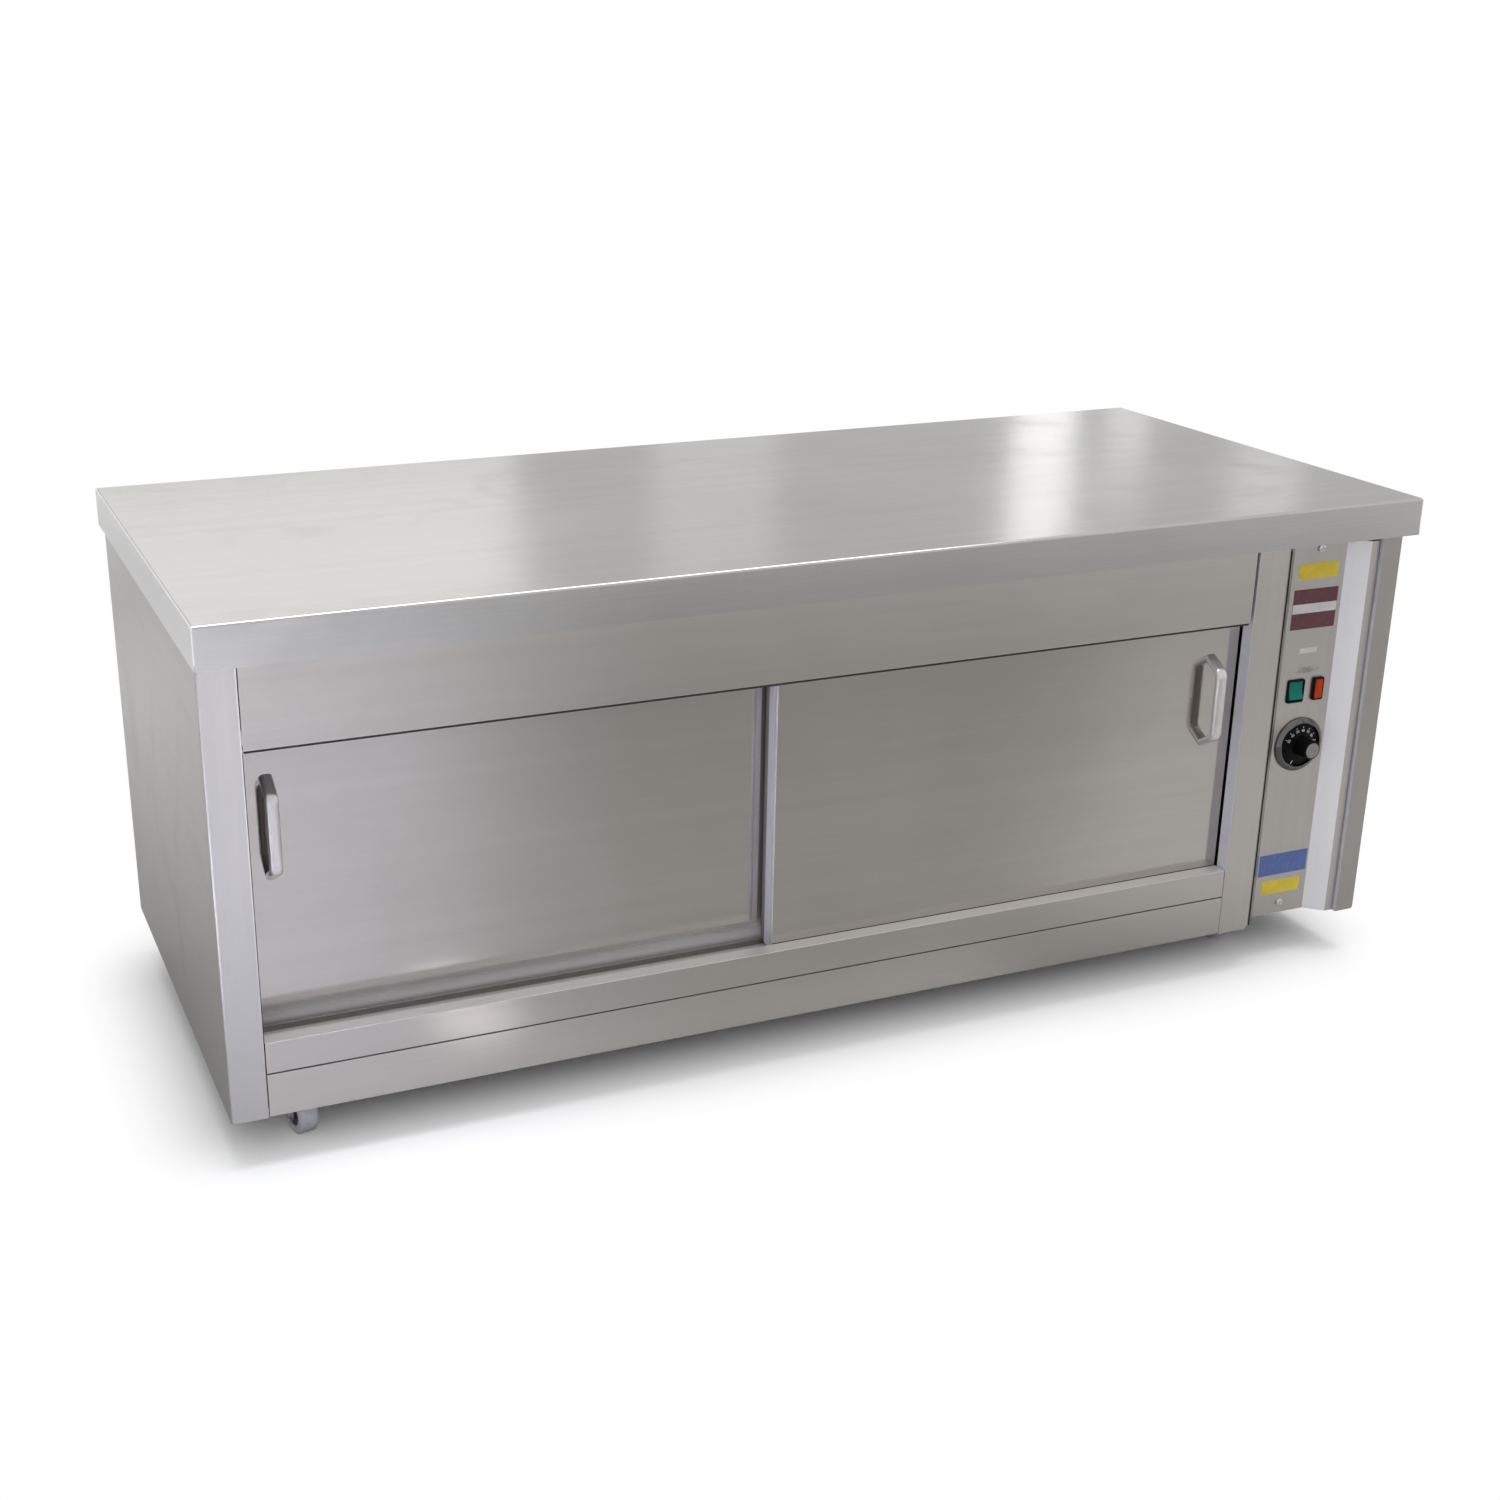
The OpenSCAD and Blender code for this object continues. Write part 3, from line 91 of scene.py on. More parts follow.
# ---------------------------------------------------------------- shader helpers
class Shader:
    """A material's node tree, with short calls to add nodes."""

    def __init__(self, name):
        self.mat = bpy.data.materials.new(name)
        self.mat.use_nodes = True
        self.tree = self.mat.node_tree
        self.tree.nodes.clear()
        self.out = self.tree.nodes.new("ShaderNodeOutputMaterial")
        self.coord = self.add("ShaderNodeTexCoord")
        self.here = self.coord.outputs["Object"]

    def put(self, socket, value):
        if isinstance(value, bpy.types.NodeSocket):
            self.tree.links.new(value, socket)
        else:
            socket.default_value = value

    def add(self, kind, inputs=None, **props):
        node = self.tree.nodes.new(kind)
        for key, value in props.items():
            setattr(node, key, value)
        for key, value in (inputs or {}).items():
            self.put(node.inputs[key], value)
        return node

    def math(self, op, a, b=0.0, c=0.0):
        return self.add("ShaderNodeMath", {0: a, 1: b, 2: c}, operation=op).outputs[0]

    def vec(self, op, a, b=(0, 0, 0)):
        return self.add("ShaderNodeVectorMath", {0: a, 1: b}, operation=op)

    def scaled(self, vector, factors):
        return self.vec("MULTIPLY", vector, factors).outputs[0]

    def turned(self, vector, angles):
        return self.add(
            "ShaderNodeMapping", {"Vector": vector, "Rotation": [math.radians(a) for a in angles]}
        ).outputs[0]

    def noise(self, vector, scale=1.0, detail=2.0, rough=0.5, distort=0.0):
        return self.add(
            "ShaderNodeTexNoise",
            {"Vector": vector, "Scale": scale, "Detail": detail, "Roughness": rough, "Distortion": distort},
        ).outputs[0]

    def span(self, value, lo, hi, to_lo=0.0, to_hi=1.0, kind="LINEAR"):
        return self.add(
            "ShaderNodeMapRange",
            {"Value": value, "From Min": lo, "From Max": hi, "To Min": to_lo, "To Max": to_hi},
            interpolation_type=kind,
        ).outputs[0]

    def mix(self, fac, a, b):
        node = self.add("ShaderNodeMix", {0: fac}, data_type="RGBA")
        self.put(node.inputs[6], a)
        self.put(node.inputs[7], b)
        return node.outputs[2]

    def mix_vec(self, fac, a, b):
        node = self.add("ShaderNodeMix", {0: fac}, data_type="VECTOR")
        self.put(node.inputs[4], a)
        self.put(node.inputs[5], b)
        return node.outputs[1]

    def bump(self, height, distance, strength=1.0, under=None):
        inputs = {"Height": height, "Distance": distance, "Strength": strength}
        if under is not None:
            inputs["Normal"] = under
        return self.add("ShaderNodeBump", inputs).outputs[0]

    def edges(self, radius):
        """1 on edges narrower than the radius, 0 on flats."""
        soft = self.add("ShaderNodeBevel", {"Radius": radius}, samples=6).outputs[0]
        flat = self.add("ShaderNodeNewGeometry").outputs["Normal"]
        dot = self.vec("DOT_PRODUCT", soft, flat).outputs["Value"]
        return self.span(dot, 0.99, 0.85)

    def finish(self, **sockets):
        bsdf = self.add("ShaderNodeBsdfPrincipled")
        for key, value in sockets.items():
            self.put(bsdf.inputs[key.replace("_", " ").title().replace("Ior", "IOR")], value)
        self.tree.links.new(bsdf.outputs[0], self.out.inputs[0])
        return self.mat


def rgb(r, g, b):
    return (r, g, b, 1.0)


def shade(colour, k):
    return (colour[0] * k, colour[1] * k, colour[2] * k, 1.0)


# ---------------------------------------------------------------- materials
FINE_ALONG, FINE_ACROSS = 5.0, 650.0
GRAIN = {
    "x": (FINE_ALONG, FINE_ACROSS, FINE_ACROSS),
    "y": (FINE_ACROSS, FINE_ALONG, FINE_ACROSS),
    "z": (FINE_ACROSS, FINE_ACROSS, FINE_ALONG),
}
UP, LEFT, FRONT = (0, 0, 1), (-1, 0, 0), (0, -1, 0)
# Pale colour painted at the foot of a sheet: a painted reflection.
PAINTED_FOOT_SHEEN = rgb(0.82, 0.81, 0.83)
# Dark colour painted into a recess: painted shade.
PAINTED_GROOVE_SHADE = rgb(0.20, 0.19, 0.185)
# Bevel radii: worn edges, and folds that carry a painted highlight.
WORN_EDGE, GLINT_EDGE = 0.0018, 0.0028


def brushed(
    name, colour, rough, front="x", side="y", scuff=0.5, tint=1.0, wave=0.0015, smear=1.0, grain=1.0, pale=None,
    sheen_metal=0.30, foot_sheen=None, pit=None, glint=None, fade=None, stain=None,
):
    """Brushed sheet: grain, soft bands, cleaning smears, scuffs and worn edges, with painted sheen, painted shade
    and painted highlights where asked.

    pale = (direction, colour): faces turned that way are painted pale, a painted sheen standing in for light from
    that side, which leaves `sheen_metal` of the metal look.
    haze = (low, high): below these heights the sheet is painted pale and matt, a painted reflection of a lit surface
    below it.
    pit = (y, z): behind this y and below this z, the sheet is painted dark: painted shade in the recess.
    glint = (gain, height): above this height the folds are painted brighter by this gain: a painted highlight.
    fade = (low, high, share): painted shade: the sheet is painted darker, to this share of its colour, from the high
    height down to the low one.
    stain = (x, z, half width, half height): a grey residue left where something was peeled off.
    """
    s = Shader(name)
    nx = s.math("ABSOLUTE", s.add("ShaderNodeSeparateXYZ", {0: s.coord.outputs["Normal"]}).outputs[0])
    lines = s.mix_vec(
        s.math("GREATER_THAN", nx, 0.6), s.scaled(s.here, GRAIN[front]), s.scaled(s.here, GRAIN[side])
    )
    fine = s.noise(lines, 1.0, 4.0, 0.65)
    band = s.noise(lines, 0.07, 3.0, 0.55)
    cloud = s.noise(s.here, 2.3, 5.0, 0.55, 0.4)
    smudge = s.span(s.noise(s.here, 8.0, 3.0, 0.5, 0.5), 0.50, 0.78, 0.0, 1.0, "SMOOTHSTEP")
    cuts = s.span(s.noise(s.scaled(s.turned(s.here, (20, 35, 50)), (9, 420, 420)), 1.0, 1.0), 0.70, 0.76)
    cuts2 = s.span(s.noise(s.scaled(s.turned(s.here, (-30, 15, -35)), (420, 12, 420)), 1.0, 1.0), 0.71, 0.77)
    worn = s.span(s.noise(s.here, 3.7, 3.0), 0.45, 0.65)
    cuts = s.math("MULTIPLY", s.math("MAXIMUM", cuts, cuts2), s.math("MULTIPLY", worn, scuff))
    edge = s.edges(GLINT_EDGE if glint else WORN_EDGE)
    place = s.add("ShaderNodeSeparateXYZ", {0: s.here}).outputs
    lined = s.math("MULTIPLY_ADD", band, 0.5 * grain, s.math("MULTIPLY", cloud, 0.5))
    tone = s.math("MULTIPLY_ADD", fine, 0.45 * grain, lined)
    low_tone, high_tone = 0.20 + 0.25 * grain, 0.45 + 0.55 * grain
    base = s.mix(s.span(tone, low_tone, high_tone), shade(colour, 0.90), shade(colour, 1.10))
    base = s.mix(s.math("MULTIPLY", smudge, 0.22 * smear), base, shade(colour, 0.80))
    base = s.mix(s.math("MULTIPLY", cuts, 0.55), base, shade(colour, 1.35))
    # Painted highlight: with glint, the folds above its height are painted brighter; without it, the edges only show
    # wear.
    if glint:
        edge = s.math("MULTIPLY", edge, s.math("GREATER_THAN", place[2], glint[1]))
    base = s.mix(s.math("MULTIPLY", edge, 0.95 if glint else 0.55), base, shade(colour, glint[0] if glint else 1.35))
    level = s.math("MULTIPLY_ADD", fine, 0.10 * grain, s.math("MULTIPLY", cloud, 0.16 * smear))
    level = s.math("MULTIPLY_ADD", smudge, 0.07 * smear, level)
    level = s.math("MULTIPLY_ADD", cuts, -0.08, level)
    level = s.math("ADD", level, rough - 0.13)
    metal = 1.0
    # Painted shade: the sheet is painted darker towards the bottom.
    if fade:
        dull = s.span(place[2], fade[0], fade[1], 1.0, 0.0, "SMOOTHSTEP")
        base = s.mix(dull, base, shade(colour, fade[2]))
    if stain:
        off = s.vec("SUBTRACT", s.here, (stain[0], 0, stain[1])).outputs[0]
        far = s.vec("LENGTH", s.scaled(off, (1 / stain[2], 0, 1 / stain[3]))).outputs["Value"]
        spots = s.span(s.noise(s.here, 190.0, 3.0, 0.6), 0.35, 0.65)
        residue = s.math("MULTIPLY", s.span(far, 0.4, 1.0, 0.75, 0.0, "SMOOTHSTEP"), spots)
        base = s.mix(residue, base, shade(colour, 0.45))
    # Painted reflection: the sheet is painted pale, matt and less metallic towards the bottom.
    if foot_sheen:
        foot_lift = s.span(place[2], foot_sheen[0], foot_sheen[1], 0.9, 0.0, "SMOOTHSTEP")
        base = s.mix(s.math("MULTIPLY", foot_lift, 0.9), base, PAINTED_FOOT_SHEEN)
        level = s.math("MULTIPLY_ADD", foot_lift, 0.25, level)
        metal = s.span(foot_lift, 0.0, 1.0, 1.0, 0.2)
    # Painted sheen: faces turned the given way are painted pale and less metallic, standing in for light from that
    # side.
    if pale:
        facing = s.span(s.vec("DOT_PRODUCT", s.coord.outputs["Normal"], pale[0]).outputs["Value"], 0.5, 0.68)
        rubbed = s.mix(s.span(tone, low_tone, high_tone), shade(pale[1], 0.92), shade(pale[1], 1.06))
        base = s.mix(facing, base, rubbed)
        patchy_sheen = s.math("MULTIPLY", facing, s.span(cloud, 0.2, 0.5, 0.75, 1.0))
        metal = s.math("MINIMUM", metal, s.span(patchy_sheen, 0.0, 1.0, 1.0, sheen_metal))
        level = s.math("MULTIPLY_ADD", facing, 0.12, level)
    # Painted shade: the recess behind and below the given place is painted dark.
    if pit:
        behind = s.math("GREATER_THAN", place[1], pit[0])
        groove_shade = s.math("MULTIPLY", behind, s.math("LESS_THAN", place[2], pit[1]))
        base = s.mix(s.math("MULTIPLY", groove_shade, 0.85), base, PAINTED_GROOVE_SHADE)
        level = s.math("MULTIPLY_ADD", groove_shade, 0.2, level)
    normal = s.bump(s.noise(s.here, 1.7, 1.5, 0.4), wave)
    normal = s.bump(fine, 0.00006 * grain, 1.0, normal)
    normal = s.bump(cuts, 0.00005, 1.0, normal)
    return s.finish(
        base_color=base, metallic=metal, roughness=level, normal=normal, specular_tint=rgb(tint, tint, tint)
    )


def plated(name, colour, rough):
    """Zinc plate: mottled spangle and a little white dust."""
    s = Shader(name)
    spangle = s.add("ShaderNodeTexVoronoi", {"Vector": s.here, "Scale": 140.0}).outputs["Color"]
    dust = s.noise(s.here, 35.0, 5.0, 0.6)
    base = s.mix(s.span(dust, 0.35, 0.7), shade(colour, 0.82), shade(colour, 1.12))
    base = s.mix(s.edges(0.0008), base, shade(colour, 1.3))
    level = s.math("MULTIPLY_ADD", dust, 0.25, s.math("MULTIPLY", spangle, 0.10))
    level = s.math("ADD", level, rough - 0.15)
    normal = s.bump(dust, 0.0001)
    return s.finish(base_color=base, metallic=1.0, roughness=level, normal=normal)


def polished(name, colour, rough, metal=1.0):
    """Polished metal with fine hairlines and finger marks."""
    s = Shader(name)
    hair = s.noise(s.scaled(s.turned(s.here, (25, 10, 5)), (60, 60, 900)), 1.0, 3.0, 0.6)
    marks = s.span(s.noise(s.here, 60.0, 5.0, 0.6, 0.8), 0.45, 0.7)
    base = s.mix(marks, shade(colour, 1.0), shade(colour, 0.88))
    level = s.math("MULTIPLY_ADD", hair, 0.06, s.math("MULTIPLY_ADD", marks, 0.08, rough - 0.03))
    return s.finish(base_color=base, metallic=metal, roughness=level, normal=s.bump(hair, 0.00002))


def spun(name, colour, rough):
    """Turned metal about local Z: fine rings, whose gloss fans out from the centre."""
    s = Shader(name)
    place = s.add("ShaderNodeSeparateXYZ", {0: s.here}).outputs
    r = s.math("SQRT", s.math("MULTIPLY_ADD", place[0], place[0], s.math("MULTIPLY", place[1], place[1])))
    rings = s.math("SINE", s.math("MULTIPLY", r, 9000.0))
    base = s.mix(s.span(rings, -1.0, 1.0), shade(colour, 0.9), shade(colour, 1.1))
    around = s.add("ShaderNodeTangent", direction_type="RADIAL", axis="Z").outputs[0]
    level = s.math("MULTIPLY_ADD", rings, 0.02, rough)
    return s.finish(base_color=base, metallic=1.0, roughness=level, anisotropic=0.8, tangent=around)


def moulded(name, colour, rough, shine=0.5, grain=0.00004, lift=1.6):
    """Moulded plastic or rubber: fine pebble, dull patches, paler edges."""
    s = Shader(name)
    pebble = s.noise(s.here, 900.0, 2.0)
    patch = s.noise(s.here, 45.0, 4.0, 0.6)
    base = s.mix(s.span(patch, 0.35, 0.7), shade(colour, 0.86), shade(colour, 1.14))
    base = s.mix(s.math("MULTIPLY", s.edges(0.0006), 0.5), base, shade(colour, lift))
    level = s.math("MULTIPLY_ADD", patch, 0.18, s.math("MULTIPLY_ADD", pebble, 0.06, rough - 0.12))
    return s.finish(
        base_color=base, roughness=level, normal=s.bump(pebble, grain), specular_ior_level=shine
    )


def woolly(name, colour, foil=None):
    """Loose fibre. foil = a colour: faces turned to the front carry a dull metal foil."""
    s = Shader(name)
    fibre = s.noise(s.scaled(s.here, (60, 400, 400)), 1.0, 6.0, 0.7, 1.0)
    base = s.mix(fibre, shade(colour, 0.6), shade(colour, 1.2))
    if foil is None:
        return s.finish(base_color=base, roughness=0.95, normal=s.bump(fibre, 0.002))
    facing = s.span(s.vec("DOT_PRODUCT", s.coord.outputs["Normal"], FRONT).outputs["Value"], 0.5, 0.7)
    base = s.mix(facing, base, s.mix(fibre, shade(foil, 0.85), shade(foil, 1.1)))
    rough = s.math("MULTIPLY_ADD", facing, -0.5, 0.95)
    return s.finish(base_color=base, metallic=facing, roughness=rough, normal=s.bump(fibre, 0.0008))


def printed(name, colour, fade=0.25, rough=0.42, fade_to=(0.72, 0.71, 0.68)):
    """Vinyl sticker: faint blotches, rubbed thin towards its edges, small creases."""
    s = Shader(name)
    blotch = s.noise(s.here, 55.0, 5.0, 0.6, 0.6)
    rub = s.span(s.noise(s.scaled(s.here, (160, 160, 500)), 1.0, 5.0, 0.65), 0.55, 0.75)
    crease = s.noise(s.here, 240.0, 3.0, 0.5)
    base = s.mix(s.span(blotch, 0.3, 0.7), shade(colour, 0.90), shade(colour, 1.08))
    base = s.mix(s.math("MULTIPLY", s.math("MAXIMUM", rub, s.edges(0.0012)), fade), base, rgb(*fade_to))
    level = s.math("MULTIPLY_ADD", blotch, 0.2, rough - 0.1)
    return s.finish(base_color=base, roughness=level, normal=s.bump(crease, 0.00005), coat_weight=0.15)


STEEL = (0.462, 0.436, 0.410)
# Pale lavender painted on faces turned to the left: a painted sheen standing in for light from that side.
PAINTED_LEFT_SHEEN = (0.80, 0.81, 0.90)
mat_front = brushed("steel_front", STEEL, 0.30, "x", "y", scuff=0.2, smear=0.4, grain=0.5)
# The sill's top faces are painted pale, a painted sheen for light on the ledge, and its groove is painted dark,
# painted shade.
mat_sill = brushed(
    "steel_sill", STEEL, 0.28, "x", "y", scuff=0.2, smear=0.4, grain=0.5, pale=(UP, (0.72, 0.71, 0.69)), sheen_metal=0.35,
    pit=(-0.256, 0.147),
)
# The side panel is painted darker towards its foot, painted shade, and its front fold brighter, a painted highlight.
mat_side = brushed(
    "steel_side", (0.55, 0.535, 0.52), 0.33, "z", "y", tint=0.97, grain=0.6, glint=(2.0, 0.0),
    fade=(0.06, 0.42, 0.76),
)
mat_stile = brushed("steel_stile", STEEL, 0.33, "z", "y", tint=0.9, grain=0.6, pale=(LEFT, PAINTED_LEFT_SHEEN))
# The end panel's steel is painted darker, at 0.74 of its colour: painted shade.
mat_end_shaded = brushed("steel_end_shaded", shade(STEEL, 0.74)[:3], 0.33, "z", "y", tint=0.9, grain=0.6, pale=(LEFT, PAINTED_LEFT_SHEEN))
# The worktop's faces turned to the left carry a painted sheen, and its folds above 0.58 m a painted highlight.
mat_top = brushed(
    "steel_worktop", (0.45, 0.442, 0.428), 0.23, "x", "y", scuff=0.6, tint=0.70, wave=0.0002, smear=0.8, grain=0.45,
    pale=(LEFT, (0.90, 0.895, 0.88)), sheen_metal=0.3, glint=(2.2, 0.580),
)
DOOR = (0.452, 0.427, 0.401)
mat_door = brushed("steel_door", DOOR, 0.17, "x", "z", 0.4, wave=0.0007, smear=0.6, grain=0.4, pale=(LEFT, PAINTED_LEFT_SHEEN))
# The left door's foot is painted pale and matt: a painted reflection of the lit ledge below it.
mat_door_low = brushed(
    "steel_door_painted_sheen", DOOR, 0.17, "x", "z", 0.4, wave=0.0007, smear=0.6, grain=0.4, pale=(LEFT, PAINTED_LEFT_SHEEN),
    foot_sheen=(0.148, 0.182),
)
# The panel's faces turned to the left carry a painted sheen, standing in for light from that side.
mat_panel = brushed(
    "steel_panel", (0.425, 0.402, 0.378), 0.33, "z", "z", scuff=0.4, grain=0.6, pale=(LEFT, (0.93, 0.92, 0.96)),
    sheen_metal=0.18, stain=(0.641, 0.3985, 0.024, 0.006),
)
mat_liner = brushed("steel_liner", (0.50, 0.49, 0.47), 0.34, "x", "y", scuff=0.8, smear=1.4, pale=(LEFT, PAINTED_LEFT_SHEEN))
mat_plated = plated("zinc_plated", (0.44, 0.45, 0.46), 0.42)
mat_tray = polished("bright_tray", (0.66, 0.66, 0.66), 0.22)
mat_handle = polished("handle_steel", (0.68, 0.66, 0.65), 0.17, 0.6)
DIAL = Vector(JOINTS["knob_turn"]["pos_m"])
mat_chrome = polished("chrome", (0.13, 0.125, 0.122), 0.08)
mat_spun = spun("spun_cap", (0.25, 0.245, 0.24), 0.26)
mat_wool = woolly("mineral_wool", (0.60, 0.50, 0.28), (0.42, 0.41, 0.40))
mat_brush = woolly("grey_brush", (0.30, 0.29, 0.30))
mat_sheath = plated("element_sheath", (0.10, 0.085, 0.075), 0.5)
mat_pale = moulded("pale_plastic", (0.68, 0.67, 0.60), 0.45)
mat_black = moulded("black_plastic", (0.006, 0.006, 0.007), 0.40, 0.10, lift=3.0)
mat_knob = moulded("knob_black", (0.004, 0.004, 0.005), 0.38, 0.07, lift=2.5)
mat_green = moulded("green_plastic", (0.004, 0.22, 0.17), 0.18, 0.14, 0.00001)
mat_amber = moulded("amber_lens", (0.56, 0.048, 0.001), 0.24, 0.12, 0.00001)
mat_copper = polished("copper_tube", (0.48, 0.21, 0.10), 0.3)
mat_rubber = moulded("black_rubber", (0.02, 0.02, 0.02), 0.7)
mat_tyre = moulded("grey_tyre", (0.62, 0.62, 0.67), 0.5, lift=1.2)
mat_hub = moulded("wheel_hub", (0.03, 0.035, 0.06), 0.4)
mat_white = moulded("dial_white", (0.78, 0.78, 0.76), 0.5)
mat_yellow = printed("sticker_yellow", (0.80, 0.60, 0.015), 0.30)
mat_maroon = printed("sticker_maroon", (0.105, 0.016, 0.028), 0.18, fade_to=(0.35, 0.22, 0.22))
mat_paper = printed("sticker_white", (0.72, 0.71, 0.70), 0.20, 0.6)
mat_blue = printed("sticker_blue", (0.085, 0.150, 0.42), 0.55, 0.55, fade_to=(0.25, 0.28, 0.42))

LOOKS = {
    mat_top: ["worktop"],
    mat_side: ["left_side_panel"],
    mat_stile: ["bay_partition"],
    mat_end_shaded: ["right_end_panel"],
    mat_front: ["front_fascia", "plinth_strip", "back_panel"],
    mat_sill: ["sill_channel"],
    mat_door: ["right_door_skin"],
    mat_door_low: ["left_door_skin"],
    mat_panel: ["control_panel"],
    mat_liner: [
        "left_door_pan", "right_door_pan", "liner_ends", "liner_back", "liner_ceiling", "floor_deck", "shelf",
    ],
    mat_plated: [
        "worktop_stiffeners", "bay_header", "base_pan", "top_track", "shelf_rails", "castor_plates",
        "castor_bolts", "panel_screws", "left_hangers", "right_hangers", "thermostat_spindle",
        "castor_fork_fl", "castor_fork_fr", "castor_fork_bl", "castor_fork_br",
    ],
    mat_tray: ["element_tray"],
    mat_wool: ["insulation", "left_door_core", "right_door_core"],
    mat_sheath: ["heating_element"],
    mat_pale: [
        "thermostat_body", "terminal_block", "left_rollers_outer", "left_rollers_inner",
        "right_rollers_outer", "right_rollers_inner",
    ],
    mat_black: ["rocker_housing", "neon_bezel", "cable_gland"],
    mat_knob: ["thermostat_knob"],
    mat_green: ["rocker_key"],
    mat_amber: ["neon_lens"],
    mat_chrome: ["dial_bezel"],
    mat_spun: ["knob_cap"],
    mat_copper: ["thermostat_bulb"],
    mat_rubber: ["track_stops"],
    mat_handle: ["left_handle", "right_handle"],
    mat_tyre: ["castor_wheel_fl", "castor_wheel_fr", "castor_wheel_bl", "castor_wheel_br"],
}
for look, names in LOOKS.items():
    for name in names:
        NODES[name].data.materials.clear()
        NODES[name].data.materials.append(look)

# Rounded arrises on the sheet and mouldings whose edges show
ROUNDED = {
    0.0007: [
        "left_door_skin", "right_door_skin", "front_fascia", "sill_channel", "plinth_strip", "left_door_pan",
        "right_door_pan", "shelf",
    ],
    0.0009: ["neon_lens", "rocker_key", "terminal_block", "thermostat_body"],
    0.0005: ["castor_plates", "castor_fork_fl", "castor_fork_fr", "castor_fork_bl", "castor_fork_br", "dial_bezel"],
}


def round_edges(obj, width):
    weld = obj.modifiers.new("weld", "WELD")
    weld.merge_threshold = 0.00001
    bevel = obj.modifiers.new("bevel", "BEVEL")
    bevel.width, bevel.segments, bevel.limit_method = width, 3, "ANGLE"
    bevel.angle_limit = math.radians(38)
    bevel.use_clamp_overlap = True
    obj.modifiers.new("normals", "WEIGHTED_NORMAL").keep_sharp = False


for width, names in ROUNDED.items():
    for name in names:
        round_edges(NODES[name], width)


# ---------------------------------------------------------------- mesh helpers
def piece(name, verts, faces, look, body, slot=None, replaces=(), sharp=35.0, place=None):
    mesh = bpy.data.meshes.new(name)
    mesh.from_pydata([tuple(v) for v in verts], [], faces)
    work = bmesh.new()
    work.from_mesh(mesh)
    bmesh.ops.remove_doubles(work, verts=work.verts, dist=1e-7)
    bmesh.ops.recalc_face_normals(work, faces=work.faces)
    work.to_mesh(mesh)
    work.free()
    for polygon in mesh.polygons:
        polygon.use_smooth = True
    mesh.set_sharp_from_angle(angle=math.radians(sharp))
    mesh.materials.append(look)
    obj = bpy.data.objects.new(name, mesh)
    SCENE.collection.objects.link(obj)
    if place is not None:
        obj.matrix_world = place
    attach(obj, body)
    if replaces:
        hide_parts(*replaces)
    return obj


def lathe(profile, n):
    """A turned shape about local Z: profile is (radius, height) from one end to the other."""
    verts, faces, rings = [], [], []
    for r, h in profile:
        if r < 1e-9:
            verts.append((0, 0, h))
            rings.append([len(verts) - 1])
        else:
            ring = []
            for i in range(n):
                a = 2 * math.pi * i / n
                verts.append((r * math.cos(a), r * math.sin(a), h))
                ring.append(len(verts) - 1)
            rings.append(ring)
    for low, high in zip(rings, rings[1:]):
        for i in range(n):
            j = (i + 1) % n
            if len(low) == 1 and len(high) == 1:
                continue
            if len(low) == 1:
                faces.append((low[0], high[j], high[i]))
            elif len(high) == 1:
                faces.append((low[i], low[j], high[0]))
            else:
                faces.append((low[i], low[j], high[j], high[i]))
    return verts, faces


def loft_faces(rows, n, base=0):
    """Quads between successive closed rows of n points, the first row starting at base."""
    faces = []
    for k in range(rows - 1):
        for i in range(n):
            j, low = (i + 1) % n, base + k * n
            faces.append((low + i, low + j, low + n + j, low + n + i))
    return faces


def merge(parts):
    """Joins (verts, faces) lists into one."""
    verts, faces = [], []
    for v, f in parts:
        base = len(verts)
        verts += [tuple(p) for p in v]
        faces += [tuple(i + base for i in q) for q in f]
    return verts, faces


def moved(part, matrix):
    return [matrix @ Vector(v) for v in part[0]], part[1]


# Local X, Y, Z of a thing on the front: X right, Y up, Z out towards the front
FACE_FRONT = Matrix(((1, 0, 0), (0, 0, -1), (0, 1, 0))).to_4x4()
FACE_BACK = Matrix(((-1, 0, 0), (0, 0, 1), (0, 1, 0))).to_4x4()


